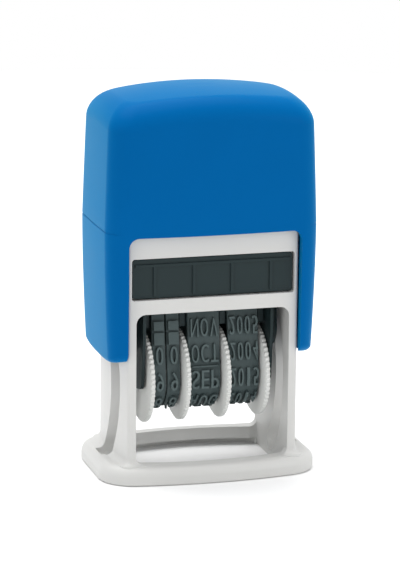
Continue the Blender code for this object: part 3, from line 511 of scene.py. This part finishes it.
def cap_section(height, inset, dome_share=0, seam=0, dip_share=0):
    """One ring of the cap's form: the seam draws in its sides, and the dip lowers their middle."""
    if height > CAP_GIRTH_Z:
        share = (height - CAP_GIRTH_Z) / (CAP_TOP - CAP_GIRTH_Z)
        side_taper, face_taper = CAP_SIDE_TOP_TAPER * share, CAP_FACE_TOP_TAPER * share
    else:
        share = ((CAP_GIRTH_Z - height) / (CAP_GIRTH_Z - CAP_BOTTOM)) ** 2
        side_taper, face_taper = CAP_SIDE_FOOT_TAPER * share, CAP_FACE_FOOT_TAPER * share
    outline = bowed_outline(
        CAP_HALF_WIDTH - inset - side_taper, CAP_HALF_DEPTH - inset - face_taper,
        max(CAP_CORNER - inset / 4, CAP_EDGE), CAP_BOW, CAP_SIDE_BOW,
    )
    ring = []
    for x, y in outline:
        if abs(x) > NOTCH_HALF_WIDTH + CAP_WALL:
            x -= copysign(seam, x)
        dip = CAP_FOOT_DROP * (1 - (y / CAP_HALF_DEPTH) ** 4)
        ring.append((x, y, height - dome_share * dome_drop(x, y) - dip_share * dip))
    return ring


def cap_rings(wall, bottom, lip, seam):
    """The rings of the cap's outer or inner form, from the open foot to the middle of the top."""
    lip_steps, side_steps, shoulder_steps, centre_steps = 9, 6, 14, 7
    top = CAP_TOP - wall
    top_round = CAP_TOP_ROUND - wall / 2
    shoulder_z = top - top_round
    rings = []
    if lip:
        rings.append(cap_section(bottom, 2 * CAP_WALL, dip_share=1))
        for step in range(lip_steps):
            angle = pi / 2 * step / lip_steps
            height = bottom + lip * (1 - cos(angle))
            rings.append(cap_section(height, wall + lip * (1 - sin(angle)), dip_share=1))
    for step in range(side_steps):
        height = bottom + lip + (CAP_GIRTH_Z - bottom - lip) * step / side_steps
        dip_share = max(0, 1 - 2 * step / side_steps) if lip else 0
        rings.append(cap_section(height, wall, dip_share=dip_share))
    rings.append(cap_section(CAP_GIRTH_Z - CAP_SEAM_HALF_WIDTH, wall))
    rings.append(cap_section(CAP_GIRTH_Z, wall, seam=seam))
    rings.append(cap_section(CAP_GIRTH_Z + CAP_SEAM_HALF_WIDTH, wall))
    for step in range(1, side_steps):
        height = CAP_GIRTH_Z + (shoulder_z - CAP_GIRTH_Z) * step / side_steps
        rings.append(cap_section(height, wall, dome_share=(step / side_steps) ** 2))
    for step in range(shoulder_steps + 1):
        angle = pi / 2 * step / shoulder_steps
        height = shoulder_z + top_round * sin(angle)
        rings.append(cap_section(height, wall + top_round * (1 - cos(angle)), dome_share=1))
    rim = rings[-1]
    for step in range(1, centre_steps):
        share = 1 - step / centre_steps
        ring = [(x * share, y * share) for x, y, z in rim]
        rings.append([(x, y, top - dome_drop(x, y)) for x, y in ring])
    return rings


def lofted(rings):
    """A closed form bridged from rings of equal count, with its faces pointing out."""
    bm = bmesh.new()
    loops = [[bm.verts.new(point) for point in ring] for ring in rings]
    count = len(loops[0])
    for lower, upper in zip(loops, loops[1:]):
        for index in range(count):
            after = (index + 1) % count
            bm.faces.new((lower[index], lower[after], upper[after], upper[index]))
    bm.faces.new(list(reversed(loops[0])))
    bm.faces.new(loops[-1])
    bmesh.ops.recalc_face_normals(bm, faces=bm.faces)
    return bm


def rounded_rectangle(low_a, high_a, low_b, high_b, foot_round, top_round, steps=10):
    """A rectangle whose two lower and two upper corners have their own radii."""
    points = arc(high_a - top_round, high_b - top_round, top_round, 0, pi / 2, steps)
    points += arc(low_a + top_round, high_b - top_round, top_round, pi / 2, pi, steps)
    points += arc(low_a + foot_round, low_b + foot_round, foot_round, pi, 3 * pi / 2, steps)
    points += arc(high_a - foot_round, low_b + foot_round, foot_round, 3 * pi / 2, 2 * pi, steps)
    return points


def cut_away(mesh, tools):
    """Cut closed forms away from a mesh, one after the other, and return the mesh that is left."""
    body = new_object("body", mesh)
    helpers = []
    for bm in tools:
        tool = new_object("tool", mesh_of(bm, "tool"))
        modifier = body.modifiers.new("cut", "BOOLEAN")
        modifier.operation = "DIFFERENCE"
        modifier.solver = "EXACT"
        modifier.object = tool
        helpers.append(tool)
    left = settled_mesh(body)
    for tool in helpers:
        bpy.data.objects.remove(tool, do_unlink=True)
    return left


def upright(outline, low, high):
    """A prism that stands on an outline of (x, y) points."""
    return lofted([[(x, y, low) for x, y in outline], [(x, y, high) for x, y in outline]])


def cap_mesh():
    """The whole cap: shell, hollow, the frame's passage and the notches front and back."""
    outer = lofted(
        cap_rings(wall=0, bottom=CAP_BOTTOM, lip=CAP_LIP_ROUND, seam=CAP_SEAM_DEPTH)
    )
    below = CAP_BOTTOM - CAP_FOOT_DROP - CAP_WALL
    hollow = lofted(cap_rings(wall=CAP_WALL, bottom=below, lip=0, seam=0))
    plan = bowed_outline(PASSAGE_HALF_DEPTH, PASSAGE_HALF_WIDTH, PASSAGE_CORNER, PASSAGE_BOW)
    passage = upright([(x, y) for y, x in plan], below, PASSAGE_TOP)
    reach = CAP_HALF_DEPTH + CAP_WALL
    outline = rounded_rectangle(
        -NOTCH_HALF_WIDTH, NOTCH_HALF_WIDTH, below - CAP_WALL, NOTCH_TOP,
        NOTCH_FOOT_ROUND, NOTCH_ROUND,
    )
    notch = lofted([[(x, -reach, z) for x, z in outline], [(x, reach, z) for x, z in outline]])
    return cut_away(mesh_of(outer, "press_cap"), [hollow, passage, notch])


cap_plastic = moulded_plastic(
    "cap_plastic", CAP_BLUE, roughness=0.34, specular=0.015,
    grain_size=0.35 * MM, grain_depth=0.002 * MM, shade=0.04,
)
set_inputs(shader_of(cap_plastic), {
    "Sheen Weight": CAP_SHEEN,
    "Sheen Roughness": CAP_SHEEN_ROUGHNESS,
    "Sheen Tint": CAP_SHEEN_TINT,
})
cap = add_piece("press_cap", cap_mesh(), cap_plastic, "cap")
round_edges(cap, CAP_EDGE, segments=3, angle=radians(40))
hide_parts("cap")


# Cap bridge: a dark stirrup fixed under the cap's top. Its two thin arms reach down inside the
# frame, and the date unit turns in the eyes at their feet.

DARK_GREY = (0.014, 0.026, 0.028)
SMALL_EDGE = 0.12 * MM

dark_plastic = moulded_plastic(
    "dark_plastic", DARK_GREY, roughness=0.45, specular=0.2,
    grain_size=0.3 * MM, grain_depth=0.004 * MM, shade=0.08,
)
bridge = add_piece("bridge_stirrup", joined_faces("cap_bridge"), dark_plastic, "cap")
round_edges(bridge, SMALL_EDGE)
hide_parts("cap_bridge")


# Band carrier and flip cranks: the dark block that the bands are drawn over, with a divider
# beside each band and a cheek at each end, and the two cranks keyed into it from outside, whose
# pins run in the frame's slots.

carrier = add_piece("carrier_block", joined_faces("band_carrier"), dark_plastic, "date_unit")
round_edges(carrier, SMALL_EDGE)
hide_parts("band_carrier")

for node in ("left_flip_crank", "right_flip_crank"):
    crank = add_piece(f"{node}_moulding", joined_faces(node), dark_plastic, "date_unit")
    round_edges(crank, SMALL_EDGE)
    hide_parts(node)


# Wheel axle and cushions: the plain steel rod that the setting wheels turn on, and the soft
# rubber blocks under the bands that let every letter press flat on the paper.

CUSHION_BLACK = (0.018, 0.018, 0.019)
RUBBER_PATCHES = 2.5 * MM
RUBBER_GRAIN = 0.12 * MM
RUBBER_RELIEF = 0.006 * MM


def moulded_rubber(name, colour, roughness, dust):
    """Dark rubber: dull, very finely grained, with a pale bloom in patches."""
    material = new_material(name)
    set_inputs(shader_of(material), {"Roughness": roughness, "Specular IOR Level": 0.35})
    patches = speckle(material, RUBBER_PATCHES, detail=5, roughness=0.6)
    bloom = add_node(material.node_tree, "ShaderNodeMapRange", {
        "Value": patches, "From Min": 0.4, "From Max": 0.8,
    })
    dusty = [c + dust for c in colour]
    vary_tone(material, bloom.outputs["Result"], colour, dusty)
    grain = speckle(material, RUBBER_GRAIN, detail=3)
    add_relief(material, grain, RUBBER_RELIEF, strength=0.7)
    return material


axle = add_piece("axle_rod", joined_faces("wheel_axle"), steel, "date_unit")
round_edges(axle, SMALL_EDGE / 2)
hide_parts("wheel_axle")

cushion_rubber = moulded_rubber("cushion_rubber", CUSHION_BLACK, roughness=0.8, dust=0.01)
for node in ("day_cushion", "month_cushion", "year_cushion"):
    cushion = add_piece(f"{node}_block", joined_faces(node), cushion_rubber, "date_unit")
    round_edges(cushion, SMALL_EDGE)
    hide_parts(node)


# Date bands: four endless belts of moulded rubber, drawn over the carrier's head and round the
# wheels' drums. Characters, blank pads and a fine bar stand out from them, turned over so that
# they read the right way on the paper.

PRINT_Z = 39.1 * MM
AXLE_Z = 20.05 * MM
HEAD_HALF_DEPTH = 4.6 * MM
HEAD_CORNER = 1.4 * MM
BAND_RADIUS = 7.0 * MM
BAND_THICKNESS = 1.0 * MM
BAND_EDGE = 0.1 * MM
BELT_SINK = 0.2 * MM
BEND_STEP = 0.3 * MM
LETTER_RISE = 0.5 * MM
LETTER_ROOT = 0.3 * MM
LETTER_EDGE = 0.05 * MM
LETTER_HEIGHT = 3.9 * MM
STROKE_GROWTH = 0.08 * MM
NARROW_LETTERS = {"1": 0.55, "I": 0.3, "J": 0.75}
GLYPH_WELD = 0.0005
GLYPH_STEPS = 4
BAND_TOP = PRINT_Z - LETTER_RISE
ROW_PITCH = 5.5 * MM
ROW_SHIFT = 0.6 * MM
BAND_GREY = (0.045, 0.067, 0.069)
# The characters' raised faces get a paler tone, a painted highlight where light catches them: in
# full on letters, in part on bars.
RAISED_HIGHLIGHT_GREY = (0.030, 0.039, 0.039)
BAR_HIGHLIGHT_SHARE = 0.35
BAND_SHARP_ANGLE = radians(35)

# The rows of characters go round the band from the one that prints. A bar or blank pad has its
# place along the band, its width and its height.
DAY_ROWS = ("1", "", "", "0", "9", "8", "7", "6", "5", "4", "3", "2")
DAY_BARS = (
    (2 * ROW_PITCH - 0.83 * MM, 2.25 * MM, 1.95 * MM),
    (2 * ROW_PITCH + 1.9 * MM, 2.25 * MM, 2.65 * MM),
)
MONTH_ROWS = (
    "JAN", "DEC", "NOV", "OCT", "SEP", "AUG", "JUL", "JUN", "MAY", "APR", "MAR", "FEB",
)
MONTH_BARS = ((3.5 * ROW_PITCH, 5.6 * MM, 0.35 * MM),)
YEAR_ROWS = (
    "2007", "2006", "2005", "2004", "2015", "2014", "2013", "2012", "2011", "2010", "2009", "2008",
)

# Each band has its left and right side, its characters' width and pitch, its rows and its bars.
BANDS = {
    "tens": ((-11.5 * MM, -8.675 * MM), 1.66 * MM, 0, DAY_ROWS, DAY_BARS),
    "ones": ((-8.375 * MM, -5.55 * MM), 1.66 * MM, 0, DAY_ROWS, DAY_BARS),
    "month": ((-3.7 * MM, 3.2 * MM), 1.74 * MM, 2.1 * MM, MONTH_ROWS, MONTH_BARS),
    "year": ((5.05 * MM, 11.65 * MM), 1.28 * MM, 1.67 * MM, YEAR_ROWS, ()),
}


def band_path(outset, arc_steps=40, corner_steps=10):
    """The loop of a band's outside in (y, z), from the head's middle down the front and round."""
    drum = BAND_RADIUS + outset
    corner = HEAD_CORNER + outset
    corner_y = HEAD_HALF_DEPTH - HEAD_CORNER
    corner_z = BAND_TOP - HEAD_CORNER
    rise = corner_z - AXLE_Z
    lean = atan2(rise, corner_y) - acos((drum - corner) / hypot(rise, corner_y))
    points = [(0.0, BAND_TOP + outset)]
    points += arc(-corner_y, corner_z, corner, pi / 2, pi - lean, corner_steps)
    points += arc(0, AXLE_Z, drum, pi - lean, 2 * pi + lean, arc_steps)
    points += arc(corner_y, corner_z, corner, lean, pi / 2, corner_steps)
    return points


class BandWay:
    """Finds the place and the outward direction at a length along the band's outside."""

    def __init__(self, arc_steps=160, corner_steps=40):
        self.points = [Vector(point) for point in band_path(0, arc_steps, corner_steps)]
        self.points.append(self.points[0].copy())
        self.lengths = [0.0]
        for before, after in zip(self.points, self.points[1:]):
            self.lengths.append(self.lengths[-1] + (after - before).length)
        self.total = self.lengths[-1]

    def at(self, length):
        """The place on the outside and the unit vector that points away from the band."""
        length %= self.total
        index = min(bisect_right(self.lengths, length), len(self.points) - 1) - 1
        before, after = self.points[index], self.points[index + 1]
        share = (length - self.lengths[index]) / (self.lengths[index + 1] - self.lengths[index])
        along = (after - before).normalized()
        return before.lerp(after, share), Vector((along.y, -along.x))


band_way = BandWay()


def ways_out(flat):
    """How each point of a flat face moves as the face's rim grows out by one unit."""
    ways = {}
    for v in flat.verts:
        middle = Vector((0, 0))
        for edge in v.link_edges:
            if len(edge.link_faces) == 1:
                loop = edge.link_loops[0]
                along = (loop.link_loop_next.vert.co - loop.vert.co).normalized()
                middle += Vector((along.y, -along.x))
        ways[v] = middle * 2 / max(middle.length_squared, 1)
    return ways


def bar_face(width, height):
    """A flat oblong face, centred."""
    flat = bmesh.new()
    corners = ((-1, -1), (1, -1), (1, 1), (-1, 1))
    flat.faces.new([flat.verts.new((x * width / 2, y * height / 2, 0)) for x, y in corners])
    return flat


def letter_face(character, width):
    """A character's flat face, centred and full height, with its upright strokes widened."""
    curve = bpy.data.curves.new("letter", "FONT")
    curve.body = character
    curve.resolution_u = GLYPH_STEPS
    flat = bmesh.new()
    flat.from_mesh(settled_mesh(new_object("letter", curve)))
    bmesh.ops.remove_doubles(flat, verts=flat.verts, dist=GLYPH_WELD)
    low_x, high_x = min(v.co.x for v in flat.verts), max(v.co.x for v in flat.verts)
    low_y, high_y = min(v.co.y for v in flat.verts), max(v.co.y for v in flat.verts)
    drawn_width = width * NARROW_LETTERS.get(character, 1) - 2 * STROKE_GROWTH
    for v in flat.verts:
        v.co.x = (v.co.x - (low_x + high_x) / 2) * drawn_width / (high_x - low_x)
        v.co.y = (v.co.y - (low_y + high_y) / 2) * LETTER_HEIGHT / (high_y - low_y)
    for face in flat.faces:
        face.normal_update()
        if face.normal.z < 0:
            face.normal_flip()
    for v, way in ways_out(flat).items():
        v.co.x += way.x * STROKE_GROWTH
    return flat


def bendable(flat):
    """The points, ways out, faces and rim of a flat face, cut across wherever it may bend."""
    steps = int(max(v.co.y for v in flat.verts) / BEND_STEP)
    for step in range(-steps, steps + 1):
        whole = flat.verts[:] + flat.edges[:] + flat.faces[:]
        place = (0, step * BEND_STEP, 0)
        bmesh.ops.bisect_plane(flat, geom=whole, plane_co=place, plane_no=(0, 1, 0))
    flat.verts.index_update()
    ways = ways_out(flat)
    points = [(v.co.x, v.co.y, *ways[v]) for v in flat.verts]
    faces = [[v.index for v in face.verts] for face in flat.faces]
    rim = []
    for edge in flat.edges:
        if len(edge.link_faces) == 1:
            rim.append([v.index for v in edge.verts])
    flat.free()
    return points, faces, rim


def stand_out(bm, shape, centre_x, length, highlight_share=1.0):
    """Stand a flat shape out of a belt, turned over and bent with it, with softened edges."""
    raised = bm.verts.layers.float["raised"]
    points, faces, rim = shape
    levels = (
        (-LETTER_ROOT, 0),
        (LETTER_RISE - LETTER_EDGE, 0),
        (LETTER_RISE, -LETTER_EDGE),
    )
    layers = []
    for level, growth in levels:
        layer = []
        for x, y, way_x, way_y in points:
            place, away = band_way.at(length + y + growth * way_y)
            layer.append(bm.verts.new((centre_x + x + growth * way_x, *(place + away * level))))
        layers.append(layer)
    foot, shoulder, top = layers
    # The top faces carry their share of the painted highlight.
    for v in top:
        v[raised] = highlight_share
    for face in faces:
        bm.faces.new([top[index] for index in face])
        bm.faces.new([foot[index] for index in reversed(face)])
    for a, b in rim:
        bm.faces.new((foot[a], foot[b], shoulder[b], shoulder[a]))
        bm.faces.new((shoulder[a], shoulder[b], top[b], top[a]))


def belt_loops(bm, low, high):
    """The belt itself: a closed tube of soft-edged section, with its outside a little sunk."""
    outer = band_path(-BELT_SINK)
    outer_soft = band_path(-BELT_SINK - BAND_EDGE)
    inner = band_path(-BAND_THICKNESS)
    section = (
        (low, outer_soft), (low + BAND_EDGE, outer), (high - BAND_EDGE, outer),
        (high, outer_soft), (high, inner), (low, inner),
    )
    loops = [[bm.verts.new((x, y, z)) for y, z in outline] for x, outline in section]
    for here, there in zip(loops, loops[1:] + loops[:1]):
        for point in range(len(outer)):
            after = (point + 1) % len(outer)
            bm.faces.new((here[point], here[after], there[after], there[point]))


def band_mesh(name):
    """A band's belt, its characters row by row, and its bars, in one mesh."""
    (low, high), width, pitch, rows, bars = BANDS[name]
    bm = bmesh.new()
    bm.verts.layers.float.new("raised")
    belt_loops(bm, low, high)
    letters = {}
    for number, text in enumerate(rows):
        for index, character in enumerate(text):
            if character not in letters:
                letters[character] = bendable(letter_face(character, width))
            place_x = (low + high) / 2 + (index - (len(text) - 1) / 2) * pitch
            stand_out(bm, letters[character], place_x, number * ROW_PITCH + ROW_SHIFT)
    for place, bar_width, bar_height in bars:
        bar = bendable(bar_face(bar_width, bar_height))
        stand_out(bm, bar, (low + high) / 2, place + ROW_SHIFT, BAR_HIGHLIGHT_SHARE)
    bmesh.ops.recalc_face_normals(bm, faces=bm.faces)
    return mesh_of(bm, f"{name}_band_belt")


def paint_highlight_on_raised(material, paleness):
    """Add a paler tone on the faces of the characters: a painted highlight where light catches the
    raised faces.
    """
    ground = shader_of(material).inputs["Base Color"].links[0].from_socket
    raised = material.node_tree.nodes.new("ShaderNodeAttribute")
    raised.attribute_name = "raised"
    tones = {"Factor": raised.outputs["Fac"], "A": ground, "B": (*paleness, 1)}
    tone = add_node(
        material.node_tree, "ShaderNodeMix", tones, data_type="RGBA", blend_type="ADD"
    )
    set_inputs(shader_of(material), {"Base Color": tone.outputs["Result"]})


band_rubber = moulded_rubber("band_rubber", BAND_GREY, roughness=0.6, dust=0.012)
# Painted highlight on the raised faces of the characters and bars.
paint_highlight_on_raised(band_rubber, RAISED_HIGHLIGHT_GREY)
for name in BANDS:
    band = add_piece(f"{name}_band_belt", band_mesh(name), band_rubber, "date_unit")
    band.data.set_sharp_from_angle(angle=BAND_SHARP_ANGLE)
    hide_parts(f"{name}_band")


# Setting wheels: four pale serrated discs, each moulded in one with the drum that drives its
# band, turned with a fingertip or a stylus. Rounded ridges stand round each rim beside a smooth
# slanting flank.

WHEEL_RADIUS = 10.0 * MM
WHEEL_WIDTH = 1.25 * MM
RIDGES = 56
RIDGE_RADIUS = 0.46 * MM
RIDGE_SINK = 0.16 * MM
RIDGE_END = 0.14
RIDGE_END_SCALE = 0.72
FLANK_WIDTH = 0.36 * MM
FLANK_FALL = 0.48 * MM
DRUM_RADIUS = 5.7 * MM
BORE_RADIUS = 1.8 * MM
WHEEL_DISH = 0.25 * MM
WHEEL_RIM = 1.3 * MM
WHEEL_EDGE = 0.12 * MM
WHEEL_SHARP_ANGLE = radians(50)
WHEEL_GREY = (0.69, 0.70, 0.68)

# Each wheel has the left side of its disc and the far end of its drum.
WHEELS = {
    "tens": (-13.05 * MM, -8.675 * MM),
    "ones": (-5.25 * MM, -8.375 * MM),
    "month": (3.5 * MM, -3.7 * MM),
    "year": (11.95 * MM, 5.05 * MM),
}


def turned(profile, steps=96):
    """A closed form turned about the wheels' axle from an outline of (x, radius) points."""
    bm = bmesh.new()
    rings = []
    for step in range(steps):
        angle = 2 * pi * step / steps
        rings.append([
            bm.verts.new((x, radius * cos(angle), AXLE_Z + radius * sin(angle)))
            for x, radius in profile
        ])
    for index, ring in enumerate(rings):
        following = rings[(index + 1) % steps]
        for point in range(len(profile)):
            after = (point + 1) % len(profile)
            bm.faces.new((ring[point], ring[after], following[after], following[point]))
    bmesh.ops.recalc_face_normals(bm, faces=bm.faces)
    return mesh_of(bm, "turned")


def wheel_profile(left, drum_end):
    """The outline of a wheel's section: a disc with its drum on one side, dished on the other."""
    right = left + WHEEL_WIDTH
    root = WHEEL_RADIUS - RIDGE_RADIUS + RIDGE_SINK
    flank_foot = root - FLANK_FALL
    edge = WHEEL_EDGE
    if drum_end > right:
        return [
            (left, BORE_RADIUS), (left, flank_foot), (left + FLANK_WIDTH, root),
            (right - edge, root), (right, root - edge), (right, DRUM_RADIUS),
            (drum_end - edge, DRUM_RADIUS), (drum_end, DRUM_RADIUS - edge), (drum_end, BORE_RADIUS),
        ]
    hub = BORE_RADIUS + WHEEL_RIM
    rim = WHEEL_RADIUS - WHEEL_RIM
    dish = right - WHEEL_DISH
    return [
        (right, BORE_RADIUS), (right, hub - edge), (right - edge, hub), (dish, hub + edge),
        (dish, rim - edge), (right - edge, rim), (right, rim + edge), (right, root - edge),
        (right - edge, root), (left + FLANK_WIDTH, root), (left, flank_foot), (left, DRUM_RADIUS),
        (drum_end + edge, DRUM_RADIUS), (drum_end, DRUM_RADIUS - edge), (drum_end, BORE_RADIUS),
    ]


def ridged_rim_form():
    """Rounded ridges set across a wheel's rim, all round it, joined to the wheel."""
    group, given = new_form(
        "ridged_rim_form",
        ("Ring Radius", "Ridge Radius", "Left End", "Right End", "Axle Height"),
        counts=("Ridges",),
    )
    ring = add_node(group, "GeometryNodeMeshCircle", {
        "Vertices": given["Ridges"], "Radius": given["Ring Radius"],
    })

    left_end = add_node(group, "ShaderNodeCombineXYZ", {"Z": given["Left End"]})
    right_end = add_node(group, "ShaderNodeCombineXYZ", {"Z": given["Right End"]})
    line = add_node(group, "GeometryNodeCurvePrimitiveLine", {
        "Start": left_end.outputs["Vector"], "End": right_end.outputs["Vector"],
    })
    points = add_node(group, "GeometryNodeResampleCurve", {
        "Curve": line.outputs["Curve"], "Count": 9,
    })
    share = group.nodes.new("GeometryNodeSplineParameter")
    taper = add_node(group, "ShaderNodeFloatCurve", {"Value": share.outputs["Factor"]})
    scale = taper.mapping.curves[0]
    scale.points[0].location = (0.0, RIDGE_END_SCALE)
    scale.points[1].location = (1.0, RIDGE_END_SCALE)
    scale.points.new(RIDGE_END, 1.0)
    scale.points.new(1 - RIDGE_END, 1.0)
    taper.mapping.update()
    section = add_node(group, "GeometryNodeCurvePrimitiveCircle", {
        "Resolution": 12, "Radius": given["Ridge Radius"],
    })
    ridge = add_node(group, "GeometryNodeCurveToMesh", {
        "Curve": points.outputs["Curve"], "Profile Curve": section.outputs["Curve"],
        "Scale": taper.outputs["Value"], "Fill Caps": True,
    })

    spread = add_node(group, "GeometryNodeInstanceOnPoints", {
        "Points": ring.outputs["Mesh"], "Instance": ridge.outputs["Mesh"],
    })
    lift = add_node(group, "ShaderNodeCombineXYZ", {"Z": given["Axle Height"]})
    put = add_node(group, "GeometryNodeTransform", {
        "Geometry": spread.outputs["Instances"],
        "Rotation": (0, pi / 2, 0),
        "Translation": lift.outputs["Vector"],
    })
    join = group.nodes.new("GeometryNodeJoinGeometry")
    for part in (given["Geometry"], put.outputs["Geometry"]):
        set_inputs(join, {"Geometry": part})
    finish_form(group, given, join.outputs["Geometry"])
    return group


ridged_rim = ridged_rim_form()
wheel_plastic = moulded_plastic(
    "wheel_plastic", WHEEL_GREY, roughness=0.5, specular=0.4,
    grain_size=0.4 * MM, grain_depth=0.003 * MM, shade=0.02,
)
for name, (left, drum_end) in WHEELS.items():
    disc = turned(wheel_profile(left, drum_end))
    wheel_mesh = shape_by_nodes(f"{name}_setting_wheel", disc, ridged_rim, {
        "Ridges": RIDGES,
        "Ring Radius": WHEEL_RADIUS - RIDGE_RADIUS,
        "Ridge Radius": RIDGE_RADIUS,
        "Left End": left + FLANK_WIDTH,
        "Right End": left + WHEEL_WIDTH,
        "Axle Height": AXLE_Z,
        "Finish": wheel_plastic,
    })
    wheel = add_piece(f"{name}_setting_wheel", wheel_mesh, wheel_plastic, f"{name}_dial")
    wheel_mesh.set_sharp_from_angle(angle=WHEEL_SHARP_ANGLE)
    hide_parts(f"{name}_wheel")


# Ink tray: a shallow dark moulding that slides in from the front over the letters, with fine
# upright ribs and a grip lip on its face.

tray = add_piece("cartridge_tray", joined_faces("ink_tray"), dark_plastic, "ink_cartridge")
round_edges(tray, SMALL_EDGE)
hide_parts("ink_tray")


# Ink felt: a thick pad of pressed wool fibre, soaked in black ink and held face down in the
# tray. Its edges are worn round and its faces lie a little uneven.

FELT_BLACK = (0.010, 0.011, 0.018)
FELT_HALF_WIDTH = 12.9 * MM
FELT_FRONT = -8.9 * MM
FELT_BACK = 8.6 * MM
FELT_LOW = 39.4 * MM
FELT_HIGH = 42.4 * MM
FELT_CORNER = 0.9 * MM
FELT_EDGE = 0.4 * MM
FELT_WAVE = 4.0 * MM
FELT_HOLLOW = 0.12 * MM
FELT_FACE_RINGS = (0.15, 0.3, 0.45, 0.6, 0.75, 0.9)
FELT_FIBRES = 0.25 * MM
FELT_WET_PATCHES = 5 * MM
FELT_RELIEF = 0.05 * MM


def felt_mesh():
    """The pad: a rounded slab whose two faces sink unevenly between their edges."""
    half_depth = (FELT_BACK - FELT_FRONT) / 2
    middle_y = (FELT_BACK + FELT_FRONT) / 2
    edge_steps = 5
    levels = [(0.0, FELT_EDGE, share) for share in FELT_FACE_RINGS]
    for step in range(edge_steps + 1):
        angle = pi / 2 * step / edge_steps
        levels.append((FELT_EDGE * (1 - cos(angle)), FELT_EDGE * (1 - sin(angle)), 1.0))
    rings = []
    for side, half in ((1, levels), (-1, levels[::-1])):
        for rise, inset, share in half:
            outline = bowed_outline(
                FELT_HALF_WIDTH - inset, half_depth - inset, FELT_CORNER, bow=0
            )
            ring = []
            for x, y in outline:
                place = Vector((x * share, y * share, side * FELT_WAVE))
                sunk = FELT_HOLLOW * (1 - share) * (1 + noise.noise(place / FELT_WAVE))
                depth = rise + sunk
                z = FELT_LOW + depth if side == 1 else FELT_HIGH - depth
                ring.append((place.x, middle_y + place.y, z))
            rings.append(ring)
    return mesh_of(lofted(rings), "felt_pad")


def pressed_felt(name, colour):
    """Ink-soaked felt: matted fibres in relief, with paler tufts and glossier wet patches."""
    material = new_material(name)
    set_inputs(shader_of(material), {"Specular IOR Level": 0.25})
    fibres = speckle(material, FELT_FIBRES, detail=6, distortion=1.5)
    paler = [2 * c for c in colour]
    vary_tone(material, fibres, colour, paler)
    wet = speckle(material, FELT_WET_PATCHES, detail=3)
    vary_gloss(material, wet, low=0.6, high=1.0)
    add_relief(material, fibres, FELT_RELIEF)
    return material


ink_felt = pressed_felt("ink_felt", FELT_BLACK)
felt = add_piece("felt_pad", felt_mesh(), ink_felt, "ink_cartridge")
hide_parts("ink_felt")
